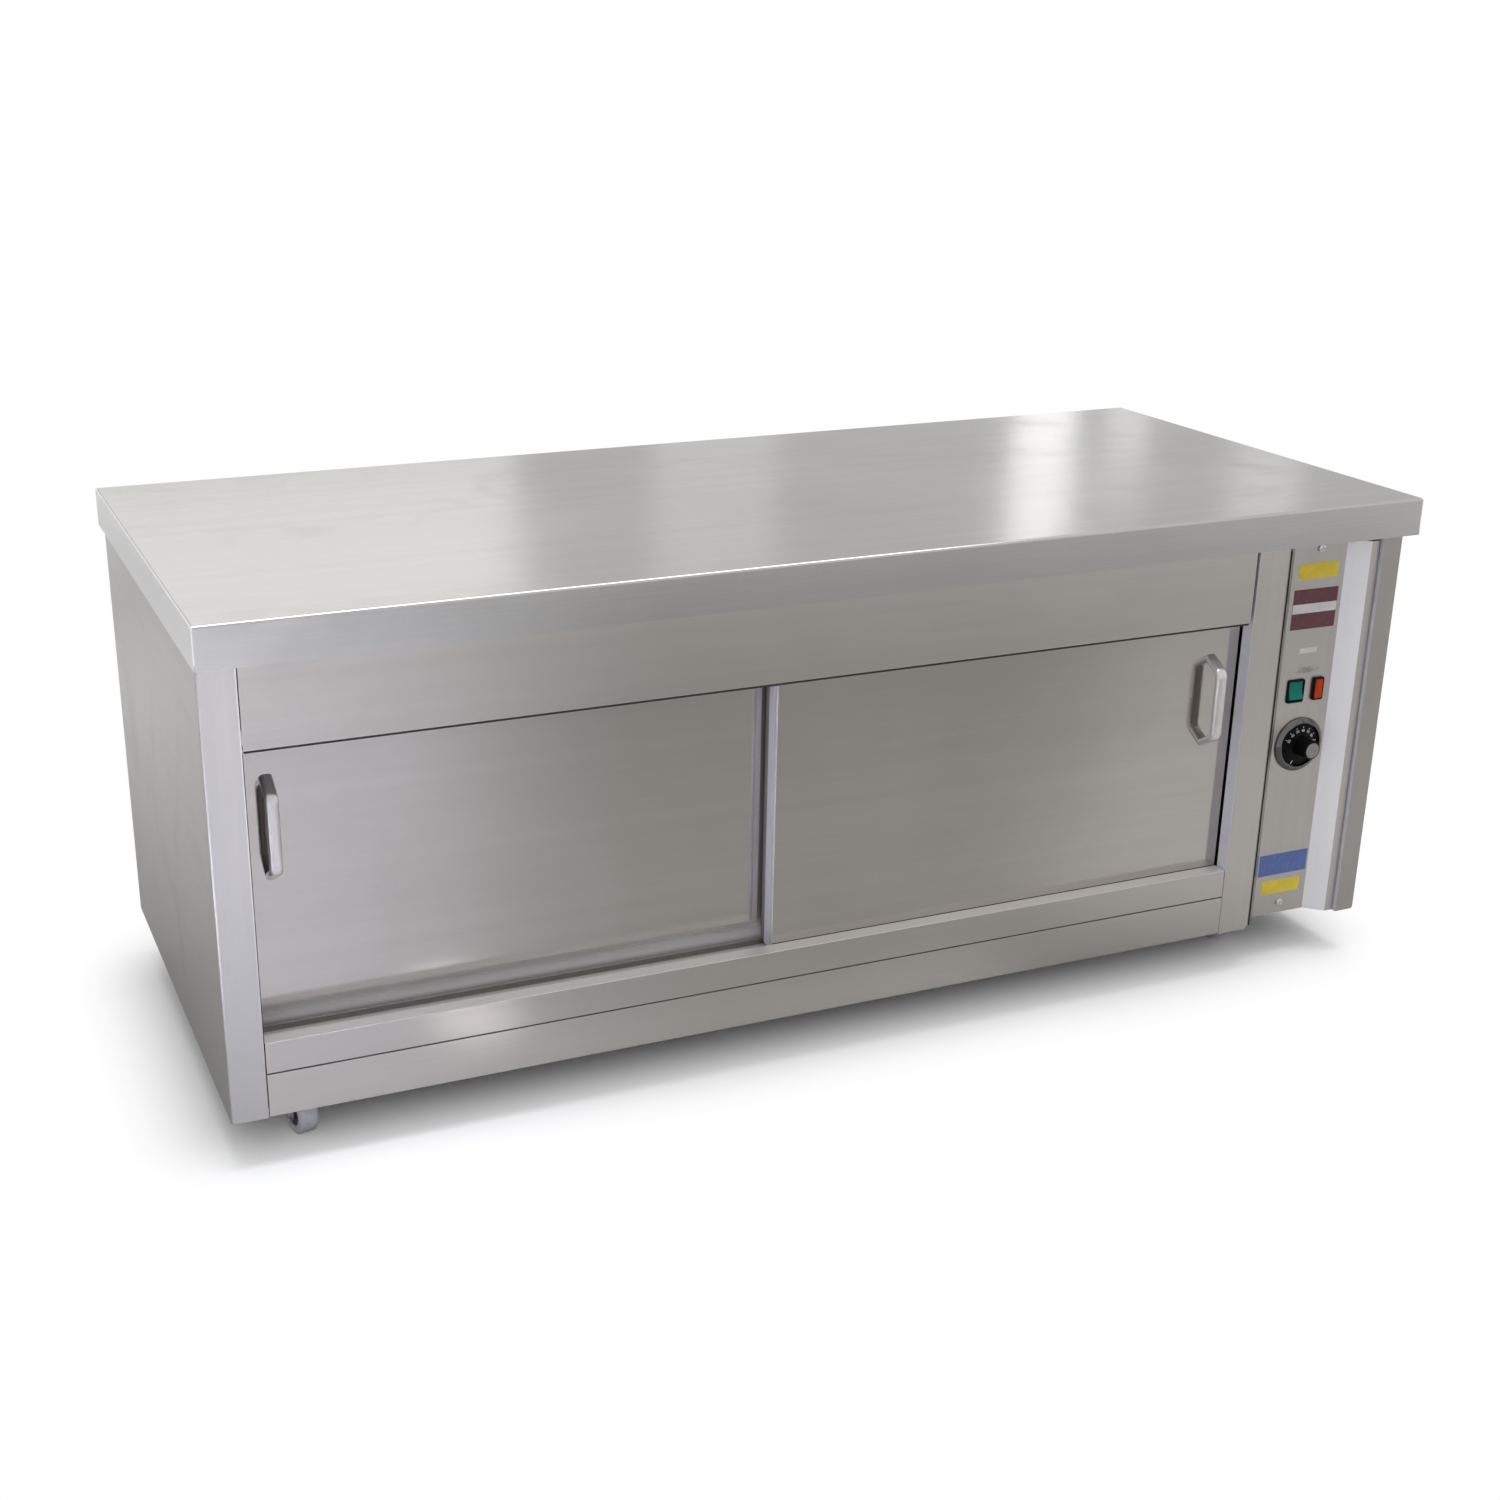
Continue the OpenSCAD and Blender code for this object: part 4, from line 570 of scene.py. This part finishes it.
# ---------------------------------------------------------------- handles
def bow_handle(name, body, node):
    """A bar of rounded section, swept along the bow and cut off flush on the door."""
    low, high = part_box(node)
    x, z, y_door = (low.x + high.x) / 2, (low.z + high.z) / 2, high.y
    reach, half = high.y - low.y, (high.z - low.z) / 2
    wide, thick, run, bend = high.x - low.x, 9 * MM, 14 * MM, 10 * MM
    out = reach - thick / 2
    leg = math.atan2(run, out)
    foot = half - thick / 2 / math.cos(leg)
    back = bend * math.tan((math.pi / 2 - leg) / 2)
    length = math.hypot(out, run) - back
    along = Vector((math.cos(leg), math.sin(leg)))
    path = [(Vector((0, -foot)) + along * length * k / 6, leg) for k in range(7)]
    centre = Vector((out - bend, -(foot - run - back)))
    for k in range(1, 13):
        a = leg + (math.pi / 2 - leg) * k / 12
        path.append((centre + Vector((math.sin(a), -math.cos(a))) * bend, a))
    rise = -path[-1][0].y
    path += [(Vector((out, -rise + rise * k / 5)), math.pi / 2) for k in range(1, 6)]
    path += [(Vector((p.x, -p.y)), math.pi - a) for p, a in reversed(path[:-1])]
    n, power, verts = 28, 2.9, []
    for i, (p, a) in enumerate(path):
        side = Vector((-math.sin(a), math.cos(a)))
        step = Vector((math.cos(a), math.sin(a)))
        for k in range(n):
            t = 2 * math.pi * k / n
            c, q = math.cos(t), math.sin(t)
            w = math.copysign(abs(c) ** (2 / power), c) * wide / 2
            u = math.copysign(abs(q) ** (2 / power), q) * thick / 2
            at = p + side * u
            if i in (0, len(path) - 1):
                at = at - step * (at.x / step.x)
            verts.append((x + w, y_door - at.x, z + at.y))
    faces = loft_faces(len(path), n) + [tuple(range(n)), tuple(range(len(verts) - n, len(verts)))]
    return piece(name, verts, faces, mat_handle, body, "handle_steel", [node], 50)


bow_handle("left_bow_handle", "left_door", "left_handle")
bow_handle("right_bow_handle", "right_door", "right_handle")


# ---------------------------------------------------------------- castor wheels
TYRE_R, TYRE_HALF, HUB_R = 25 * MM, 11 * MM, 15 * MM


def tyre_profile(r, w, hub):
    """Tyre with rounded shoulders, a flat rim band and fine rings round the tread."""
    rim, lip, seat, round_r = hub + 1.6 * MM, 0.6 * MM, w - 2.2 * MM, 3.4 * MM
    grooves, deep, foot, mouth = 7, 0.35 * MM, 0.16 * MM, 0.34 * MM
    half, arc = w - round_r, [math.pi / 2 * k / 6 for k in range(1, 7)]
    pts = [(hub, -seat), (hub, -w + lip), (hub + lip * 0.6, -w), (rim, -w), (r - round_r, -w)]
    pts += [(r - round_r + round_r * math.sin(a), -half - round_r * math.cos(a)) for a in arc]
    for k in range(grooves):
        h = -half + 2 * half * (k + 0.5) / grooves
        pts += [(r, h - mouth), (r - deep, h - foot), (r - deep, h + foot), (r, h + mouth)]
    pts += [(r - round_r + round_r * math.sin(a), half + round_r * math.cos(a)) for a in reversed(arc)]
    pts += [(r - round_r, w), (rim, w), (hub + lip * 0.6, w), (hub, w - lip), (hub, seat), (hub, -seat)]
    return pts


def hub_profile(w, hub):
    """Dished hub disc with a boss on both sides."""
    boss, bore, web = 7 * MM, 3.2 * MM, w - 4 * MM
    side = [(bore, w - 0.6 * MM), (boss - 1 * MM, w - 0.3 * MM), (boss, w - 1 * MM), (boss + 0.6 * MM, web + 1 * MM)]
    side += [(boss + 1.6 * MM, web), (hub - 1.4 * MM, web)]
    side += [(hub - 0.5 * MM, web + 0.6 * MM), (hub - 0.05 * MM, web + 1.6 * MM)]
    return [(r, -h) for r, h in side] + [(r, h) for r, h in reversed(side)] + [(bore, -w + 0.6 * MM)]


for key in ("fl", "fr", "bl", "br"):
    joint = JOINTS["wheel_%s_roll" % key]
    axis = Vector(joint["axis"]).normalized()
    turn = axis.to_track_quat("Z", "Y").to_matrix().to_4x4()
    spot = Matrix.Translation(joint["pos_m"]) @ turn
    piece(
        "castor_tyre_" + key, *lathe(tyre_profile(TYRE_R, TYRE_HALF, HUB_R), 96), mat_tyre, "wheel_" + key,
        "grey_tyre", ["castor_wheel_" + key], 40, spot,
    )
    piece(
        "castor_hub_" + key, *lathe(hub_profile(TYRE_HALF, HUB_R), 72), mat_hub, "wheel_" + key, "black_plastic",
        (), 40, spot,
    )

# ---------------------------------------------------------------- dial
ON_DIAL = Matrix.Translation(DIAL) @ FACE_FRONT
SKIRT_R, SKIRT_LOW, SKIRT_TOP, CROWN_TOP = 28.5 * MM, 1 * MM, 4 * MM, 5.5 * MM
GRIP_R, GRIP_FOOT, KNOB_TOP, CAP_SEAT = 12 * MM, 13 * MM, 29 * MM, 10.05 * MM
FLUTES, FLUTE_DEEP = 36, 0.35 * MM
NUMBER_SIZE, NUMBER_R, TICK_R, POINTER_R = 4.7 * MM, 19.4 * MM, 23.6 * MM, 24.6 * MM
FIRST_NUMBER, NUMBER_STEP, POINTER_ANGLE = -69, 25, -155
PRINT_HALF = 0.06 * MM
BEZEL_TOP, BEZEL_EDGE_R, BEZEL_DROP, BEZEL_RUN = 6 * MM, 31.4 * MM, 4 * MM, 4.6 * MM


def knob_shape():
    """Skirted knob with finely fluted grip; the flutes run out below the rounded rim."""
    n = 144
    rows = [
        (6 * MM, SKIRT_LOW, 0), (SKIRT_R - 0.6 * MM, SKIRT_LOW, 0), (SKIRT_R, SKIRT_LOW + 0.6 * MM, 0),
        (SKIRT_R, SKIRT_TOP - 0.5 * MM, 0), (SKIRT_R - 0.6 * MM, SKIRT_TOP + 0.05 * MM, 0),
        (GRIP_FOOT + 1.6 * MM, CROWN_TOP - 0.12 * MM, 0), (GRIP_FOOT + 0.5 * MM, CROWN_TOP + 0.3 * MM, 0),
        (GRIP_FOOT, CROWN_TOP + 1.2 * MM, 0.0), (GRIP_FOOT - 0.05 * MM, CROWN_TOP + 2.2 * MM, 1.0),
        (GRIP_R + 0.1 * MM, KNOB_TOP - 3 * MM, 1.0), (GRIP_R, KNOB_TOP - 1.4 * MM, 0.2),
        (GRIP_R - 0.25 * MM, KNOB_TOP - 0.5 * MM, 0), (GRIP_R - 0.8 * MM, KNOB_TOP, 0),
        (CAP_SEAT + 0.3 * MM, KNOB_TOP, 0), (CAP_SEAT, KNOB_TOP - 0.3 * MM, 0), (CAP_SEAT, KNOB_TOP - 0.6 * MM, 0),
    ]
    verts = []
    for r, h, flute in rows:
        for i in range(n):
            a = 2 * math.pi * i / n
            q = r - flute * FLUTE_DEEP * (0.5 - 0.5 * math.cos(FLUTES * a))
            verts.append((q * math.cos(a), q * math.sin(a), h))
    return verts, loft_faces(len(rows), n)


piece("dial_knob", *knob_shape(), mat_knob, "knob", "black_plastic", ["thermostat_knob"], 40, ON_DIAL)

# Spun cap with shallow turned rings
cap = [(0, KNOB_TOP + 0.42 * MM)]
for k in range(1, 19):
    r = 9.4 * MM * k / 18
    cap.append((r, KNOB_TOP + (0.42 + 0.06 * (k % 2)) * MM))
cap += [(9.8 * MM, KNOB_TOP + 0.4 * MM), (10 * MM, KNOB_TOP + 0.15 * MM), (10 * MM, KNOB_TOP - 0.6 * MM)]
piece("dial_cap", *lathe(cap, 96), mat_spun, "knob", "chrome", ["knob_cap"], 60, ON_DIAL)


def skirt_height(r):
    share = (SKIRT_R - r) / (SKIRT_R - GRIP_FOOT)
    return SKIRT_TOP + share * (CROWN_TOP - SKIRT_TOP)


def numeral(text, size):
    """Outline of a number as a thin solid in local XY, centred on the origin."""
    curve = bpy.data.curves.new("number", "FONT")
    curve.body, curve.size, curve.extrude = text, size, PRINT_HALF
    curve.align_x, curve.align_y, curve.resolution_u = "CENTER", "CENTER", 3
    holder = bpy.data.objects.new("number", curve)
    SCENE.collection.objects.link(holder)
    bpy.context.view_layer.update()
    mesh = holder.evaluated_get(bpy.context.evaluated_depsgraph_get()).to_mesh()
    part = [v.co.copy() for v in mesh.vertices], [tuple(p.vertices) for p in mesh.polygons]
    bpy.data.objects.remove(holder)
    bpy.data.curves.remove(curve)
    return part


def on_skirt(part, angle, r):
    """Lays a flat part on the skirt's cone at a clockwise angle from the top."""
    tilt = math.atan2(CROWN_TOP - SKIRT_TOP, SKIRT_R - GRIP_FOOT)
    spot = Matrix.Rotation(-angle, 4, "Z") @ Matrix.Translation((0, r, skirt_height(r) + 0.05 * MM))
    return moved(part, spot @ Matrix.Rotation(-tilt, 4, "X"))


def bar(w, h, t):
    x, y = w / 2, h / 2
    verts = [(-x, -y, -t), (x, -y, -t), (x, y, -t), (-x, y, -t), (-x, -y, t), (x, -y, t), (x, y, t), (-x, y, t)]
    return verts, [(0, 3, 2, 1), (4, 5, 6, 7), (0, 1, 5, 4), (1, 2, 6, 5), (2, 3, 7, 6), (3, 0, 4, 7)]


marks = []
for k, text in enumerate(("30", "40", "50", "60", "70", "80", "90", "100", "110")):
    angle = math.radians(FIRST_NUMBER + NUMBER_STEP * k)
    marks.append(on_skirt(numeral(text, NUMBER_SIZE), angle, NUMBER_R))
    marks.append(on_skirt(bar(0.8 * MM, 1.8 * MM, PRINT_HALF), angle, TICK_R))
marks.append(on_skirt(bar(1.0 * MM, 5.0 * MM, PRINT_HALF), math.radians(POINTER_ANGLE), POINTER_R))
piece("dial_numbers", *merge(marks), mat_white, "knob", None, (), 30, ON_DIAL)

# Index on the bezel's top and sloping face
index = []
for w, r in ((1.5 * MM, 30.9 * MM), (2.3 * MM, 32.2 * MM), (3.1 * MM, 33.5 * MM)):
    slope = math.atan2(BEZEL_DROP, BEZEL_RUN) if r > BEZEL_EDGE_R else 0
    rise = BEZEL_TOP - (r - BEZEL_EDGE_R) * math.tan(slope)
    spot = Matrix.Translation((0, r, rise + 0.02 * MM)) @ Matrix.Rotation(-slope, 4, "X")
    index.append(moved(bar(w, 0.55 * MM, 0.08 * MM), spot))
piece("dial_index", *merge(index), mat_black, "cabinet", None, (), 30, ON_DIAL)


# ---------------------------------------------------------------- stickers
def rounded_rect(w, h, r, n=5):
    pts, x, y = [], w / 2 - r, h / 2 - r
    for cx, cy, a0 in ((x, y, 0), (-x, y, 90), (-x, -y, 180), (x, -y, 270)):
        for k in range(n + 1):
            a = math.radians(a0 + 90 * k / n)
            pts.append((cx + r * math.cos(a), cy + r * math.sin(a)))
    return pts


def foil(outline, t, inset):
    """A thin sheet with a softened rim: its back at local z 0, its face at t."""
    n = len(outline)
    cx = sum(p[0] for p in outline) / n
    cy = sum(p[1] for p in outline) / n
    verts = []
    for z, k in ((0.0, 0.0), (t * 0.55, 0.0), (t, inset)):
        for px, py in outline:
            d = math.hypot(px - cx, py - cy) or 1.0
            verts.append((px - (px - cx) / d * k, py - (py - cy) / d * k, z))
    return verts, loft_faces(3, n) + [tuple(range(n)), tuple(range(2 * n, 3 * n))]


PANEL_Y = DIAL.y
STICKER_T, STICKER_CORNER, STICKER_RIM = 0.22 * MM, 0.9 * MM, 0.12 * MM


def sticker(name, x, z, w, h, look, tilt=0.0, lift=0.0):
    """A blank sticker on the control panel; sizes in millimetres, tilt in degrees."""
    turn = FACE_FRONT @ Matrix.Rotation(math.radians(tilt), 4, "Z")
    spot = Matrix.Translation((x * MM, PANEL_Y - lift, z * MM)) @ turn
    shape = foil(rounded_rect(w * MM, h * MM, STICKER_CORNER), STICKER_T, STICKER_RIM)
    return piece(name, *shape, look, "cabinet", None, (), 30, spot)


sticker("sticker_top_yellow", 641.3, 528, 60, 20, mat_yellow, 0.6)
sticker("sticker_plate_maroon", 641.5, 479, 68, 52, mat_maroon, -0.4)
sticker("sticker_plate_white", 641.5, 480, 67.4, 12, mat_paper, -0.4, STICKER_T)
sticker("sticker_low_blue", 641.0, 133, 76, 30, mat_blue, 0.3)
sticker("sticker_low_yellow", 641.0, 100.5, 60, 19, mat_yellow, -0.5)
sticker("sticker_mid_white", 640.0, 424.5, 27, 7, mat_paper, 1.0)


# ---------------------------------------------------------------- switch frames, seals, black strips for painted shade and the brush
def switch_frame(name, node, outer, inner, proud, depth):
    """A black frame with round corners on the panel, and the square body behind it."""
    low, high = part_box(node)
    x, z = (low.x + high.x) / 2, (low.z + high.z) / 2
    w, h = high.x - low.x, high.z - low.z
    rings = [
        (rounded_rect(w, h, outer, 6), 0.0), (rounded_rect(w, h, outer, 6), proud - 0.7 * MM),
        (rounded_rect(w - 0.5 * MM, h - 0.5 * MM, outer, 6), proud - 0.2 * MM),
        (rounded_rect(w - 1.3 * MM, h - 1.3 * MM, outer, 6), proud),
        (rounded_rect(inner[0] + 0.8 * MM, inner[1] + 0.8 * MM, 1.2 * MM, 6), proud),
        (rounded_rect(inner[0], inner[1], 0.8 * MM, 6), proud - 0.5 * MM),
        (rounded_rect(inner[0], inner[1], 0.8 * MM, 6), -depth + 1 * MM),
    ]
    n, verts = len(rings[0][0]), []
    for ring, level in rings:
        verts += [(px, py, level) for px, py in ring]
    faces = loft_faces(len(rings), n)
    faces.append(tuple(range((len(rings) - 1) * n, len(rings) * n)))
    body = rounded_rect(w - 3.4 * MM, h - 3.4 * MM, 0.8 * MM, 6)
    base = len(verts)
    verts += [(px, py, 0.0) for px, py in body] + [(px, py, -depth) for px, py in body]
    for i in range(n):
        j = (i + 1) % n
        faces.append((base + i, base + j, base + n + j, base + n + i))
        faces.append((i, j, base + j, base + i))
    faces.append(tuple(range(base + n, base + 2 * n)))
    spot = Matrix.Translation((x, PANEL_Y, z)) @ FACE_FRONT
    return piece(name, verts, faces, mat_black, "cabinet", "black_plastic", [node], 40, spot)


key_low, key_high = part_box("rocker_key")
lens_low, lens_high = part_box("neon_lens")
house_low, house_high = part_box("rocker_housing")
lamp_low, lamp_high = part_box("neon_bezel")
switch_frame(
    "rocker_frame", "rocker_housing", 3.0 * MM, (key_high.x - key_low.x + 0.6 * MM, 25.4 * MM),
    PANEL_Y - house_low.y, house_high.y - PANEL_Y,
)
switch_frame(
    "neon_frame", "neon_bezel", 2.2 * MM,
    (lens_high.x - lens_low.x + 0.6 * MM, lens_high.z - lens_low.z + 0.6 * MM),
    PANEL_Y - lamp_low.y, lamp_high.y - PANEL_Y,
)


def strip(name, section, start, end, place, look, body, slot):
    """A long strip with soft corners: its section is (width, height) from the origin, run from start to end."""
    (w, h), c = section, 0.22 * min(section)
    ring = [(c, 0), (w - c, 0), (w, c), (w, h - c), (w - c, h), (c, h), (0, h - c), (0, c)]
    steps, n, verts = 12, len(ring), []
    for k in range(steps + 1):
        verts += [(px, py, start + (end - start) * k / steps) for px, py in ring]
    faces = loft_faces(steps + 1, n) + [tuple(range(n)), tuple(range(steps * n, steps * n + n))]
    return piece(name, verts, faces, look, body, slot, (), 50, place)


# Local X, Y, Z of a strip along X of the frame: X back, Y up, Z right
ALONG_X = Matrix(((0, 0, 1), (1, 0, 0), (0, 1, 0))).to_4x4()
low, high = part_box("front_fascia")
# Painted shade: a black strip under the fascia's lower edge stands in for the shadow line there.
strip(
    "fascia_shadow_strip", (2.2 * MM, 2.8 * MM), low.x + 1 * MM, high.x - 1 * MM,
    Matrix.Translation((0, low.y + 1.7 * MM, low.z - 2.85 * MM)) @ ALONG_X, mat_rubber, "cabinet", "black_rubber",
)
# Painted shade: a black strip along the stile's edge stands in for the shadow line beside the door.
strip(
    "stile_shadow_strip", (1.1 * MM, 10 * MM), 151.5 * MM, 475.5 * MM,
    Matrix.Translation((low.x - 1.15 * MM, low.y + 1 * MM, 0)), mat_rubber, "cabinet", "black_rubber",
)
low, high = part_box("plinth_strip")
strip(
    "plinth_seal", (1.2 * MM, 1.3 * MM), low.x + 0.5 * MM, high.x - 0.5 * MM,
    Matrix.Translation((0, low.y - 0.25 * MM, high.z - 0.35 * MM)) @ ALONG_X, mat_rubber, "cabinet", "black_rubber",
)
low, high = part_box("control_panel")
# Painted shade: a black strip along the panel's left edge stands in for the shadow line there.
strip(
    "panel_shadow_strip", (1.5 * MM, 1.0 * MM), low.z + 0.5 * MM, high.z - 0.5 * MM,
    Matrix.Translation((low.x + 3.4 * MM, low.y - 1.02 * MM, 0)), mat_rubber, "cabinet", "black_rubber",
)
low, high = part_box("right_door_pan")
left_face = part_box("left_door_skin")[0].y
strip(
    "door_brush", (3 * MM, left_face - high.y - 0.9 * MM), low.z + 1.5 * MM, high.z - 1.5 * MM,
    Matrix.Translation((low.x + 0.4 * MM, high.y + 0.05 * MM, 0)), mat_brush, "right_door", "black_rubber",
)


# ---------------------------------------------------------------- screws
def screw_head(r, h, arm, deep):
    """Pan head with a cross recess: the crown's grid is pressed in where the cross lies."""
    n, rings = 48, 14
    verts = [(0, 0, h - deep)]
    for k in range(1, rings + 1):
        q = r * k / rings
        for i in range(n):
            a = 2 * math.pi * i / n
            x, y = q * math.cos(a), q * math.sin(a)
            top = h * (1 - 0.28 * (q / r) ** 2) if k < rings else 0.45 * h
            cut = min(abs(x), abs(y)) < 0.16 * r and max(abs(x), abs(y)) < arm
            verts.append((x, y, top - (deep if cut else 0)))
    for i in range(n):
        verts.append((r * math.cos(2 * math.pi * i / n), r * math.sin(2 * math.pi * i / n), 0))
    return verts, [(0, 1 + i, 1 + (i + 1) % n) for i in range(n)] + loft_faces(rings + 1, n, 1)


low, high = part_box("panel_screws")
heads = []
for z in (low.z + 5 * MM, high.z - 5 * MM):
    spot = Matrix.Translation((DIAL.x, PANEL_Y, z)) @ FACE_FRONT
    heads.append(moved(screw_head(5 * MM, 3 * MM, 2.9 * MM, 1.1 * MM), spot))
piece("panel_screw_heads", *merge(heads), mat_tray, "cabinet", "plated_steel", ["panel_screws"], 40)

back_low, back_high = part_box("back_panel")
BACK_INSET, BACK_COLUMNS = 14 * MM, (-0.70, -0.42, -0.14, 0.14, 0.42, 0.70)
BACK_SIDE_X, BACK_SIDE_ROWS = 0.725, (0.21, 0.32, 0.43)
spots = []
for x in BACK_COLUMNS:
    spots += [(x, back_low.z + BACK_INSET), (x, back_high.z - BACK_INSET)]
spots += [(s * BACK_SIDE_X, z) for s in (-1, 1) for z in BACK_SIDE_ROWS]
heads = [
    moved(screw_head(4 * MM, 2.2 * MM, 2.4 * MM, 0.9 * MM), Matrix.Translation((x, back_high.y, z)) @ FACE_BACK)
    for x, z in spots
]
piece("back_screw_heads", *merge(heads), mat_tray, "cabinet", "plated_steel", (), 40)


# ---------------------------------------------------------------- stage and light
FLOOR_SIZE, FLOOR_SEEN, FLOOR_LIT, WORLD_LEVEL = 14.0, 0.95, 0.585, 0.55
SHADOW_CORE, SHADOW_FADE = (0.70, 0.18, 0), (1 / 0.16, 1 / 0.23, 1)
MIRRORED_CORE, MIRRORED_NEAR, MIRRORED_FAR = (0.74, 0.30, 0), 1.4, 3.2


def make_floor():
    work = bmesh.new()
    bmesh.ops.create_grid(work, x_segments=1, y_segments=1, size=FLOOR_SIZE)
    mesh = bpy.data.meshes.new("floor")
    work.to_mesh(mesh)
    work.free()
    floor = bpy.data.objects.new("floor", mesh)
    SCENE.collection.objects.link(floor)
    s = Shader("floor_pale")
    at = s.vec("ABSOLUTE", s.here).outputs[0]
    path = s.add("ShaderNodeLightPath").outputs
    # The shadow of the object stays under it; past it the camera sees white
    under = s.vec("MAXIMUM", s.vec("SUBTRACT", at, SHADOW_CORE).outputs[0], (0, 0, 0)).outputs[0]
    shadow = s.vec("LENGTH", s.scaled(under, SHADOW_FADE)).outputs["Value"]
    near = s.math("MULTIPLY", path["Is Camera Ray"], s.span(shadow, 0.0, 1.0, 0.0, 1.0, "SMOOTHSTEP"))
    # Metal sees the lit floor near the object and white far off
    out = s.vec("MAXIMUM", s.vec("SUBTRACT", at, MIRRORED_CORE).outputs[0], (0, 0, 0)).outputs[0]
    away = s.vec("LENGTH", out).outputs["Value"]
    other = s.math("MAXIMUM", path["Is Glossy Ray"], path["Is Transmission Ray"])
    wide = s.math("MULTIPLY", other, s.span(away, MIRRORED_NEAR, MIRRORED_FAR, 0.0, 1.0, "SMOOTHSTEP"))
    pale = s.mix(path["Is Camera Ray"], rgb(*[FLOOR_LIT] * 3), rgb(*[FLOOR_SEEN] * 3))
    matt = s.add("ShaderNodeBsdfDiffuse", {"Color": pale})
    white = s.add("ShaderNodeEmission", {"Color": rgb(1, 1, 1), "Strength": 1.0})
    blend = s.add("ShaderNodeMixShader", {0: s.math("MAXIMUM", near, wide), 1: matt.outputs[0], 2: white.outputs[0]})
    s.tree.links.new(blend.outputs[0], s.out.inputs[0])
    mesh.materials.append(s.mat)
    floor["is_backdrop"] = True


def make_world(level):
    world = bpy.data.worlds.new("world")
    SCENE.world = world
    world.use_nodes = True
    tree = world.node_tree
    tree.nodes.clear()
    new, link = tree.nodes.new, tree.links.new
    path, out = new("ShaderNodeLightPath"), new("ShaderNodeOutputWorld")
    soft, white, blend = new("ShaderNodeBackground"), new("ShaderNodeBackground"), new("ShaderNodeMixShader")
    most, more = new("ShaderNodeMath"), new("ShaderNodeMath")
    most.operation = more.operation = "MAXIMUM"
    soft.inputs[0].default_value, soft.inputs[1].default_value = rgb(1, 1, 1), level
    white.inputs[0].default_value, white.inputs[1].default_value = rgb(1, 1, 1), 1.0
    link(path.outputs["Is Camera Ray"], more.inputs[0])
    link(path.outputs["Is Glossy Ray"], more.inputs[1])
    link(more.outputs[0], most.inputs[0])
    link(path.outputs["Is Transmission Ray"], most.inputs[1])
    link(most.outputs[0], blend.inputs[0])
    link(soft.outputs[0], blend.inputs[1])
    link(white.outputs[0], blend.inputs[2])
    link(blend.outputs[0], out.inputs[0])


def softbox(name, at, aim, w, h, watts, colour=(1, 1, 1), spread=180, spin=0):
    data = bpy.data.lights.new(name, "AREA")
    data.shape, data.size, data.size_y = "RECTANGLE", w, h
    data.energy, data.color, data.spread = watts, colour, math.radians(spread)
    lamp = bpy.data.objects.new(name, data)
    SCENE.collection.objects.link(lamp)
    lamp.location = at
    track = (Vector(aim) - Vector(at)).to_track_quat("-Z", "Y")
    lamp.rotation_euler = (track @ Quaternion((0, 0, 1), math.radians(spin))).to_euler()
    lamp.visible_camera = False


make_floor()
make_world(WORLD_LEVEL)
COOL = (0.79, 0.81, 1.0)
softbox("light_top", (0.0, -0.1, 2.6), (0, 0, 0), 2.6, 1.8, 42)
softbox("light_left", (-0.674, -1.573, 1.2), (-0.674, -1.572, 0), 1.2, 2.3, 9.4, COOL, 30, 16.8)
softbox("light_far", (-0.55, -2.35, 1.2), (-0.55, -2.349, 0), 0.75, 0.7, 2.6, (0.9, 0.91, 1.0), 30)
softbox("light_right", (1.39, -0.91, 0.8), (1.39, -0.909, 0), 1.0, 1.8, 2.2, (1, 1, 1), 30, 38.3)
softbox("light_front", (-0.25, -0.43, 0.6), (-0.25, -0.429, 0), 1.1, 0.12, 0.15, (1, 1, 1), 20)
softbox("light_side", (-1.05, 1.5, 2.0), (-1.05, 1.501, 0), 0.5, 0.9, 1.3, (1, 0.99, 0.97), 40)
softbox("light_corner", (-1.6, -0.75, 2.0), (-1.6, -0.749, 0), 0.4, 0.4, 9, COOL, 40)
softbox("light_glint", (-0.40, -0.8, 1.6), (-0.40, -0.55, 0), 0.05, 0.05, 0.05, (1, 1, 1), 5)
softbox("window_left", (0.06, 4.0, 2.2), (-0.5, 0.0, 0.6), 1.92, 1.7, 8.2)
softbox("window_a", (1.72, 4.0, 1.75), (0.0, 0.0, 0.6), 0.42, 1.3, 0.5)
softbox("window_b", (3.02, 4.0, 1.75), (0.35, 0.0, 0.6), 0.22, 1.3, 1.3)
softbox("window_c", (4.03, 4.0, 1.8), (0.65, 0.0, 0.6), 0.26, 0.7, 0.3)
softbox("window_d", (3.38, 4.0, 1.45), (0.5, 0.0, 0.6), 0.15, 0.5, 0.2)

SCENE.view_settings.view_transform = "Standard"

low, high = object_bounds()
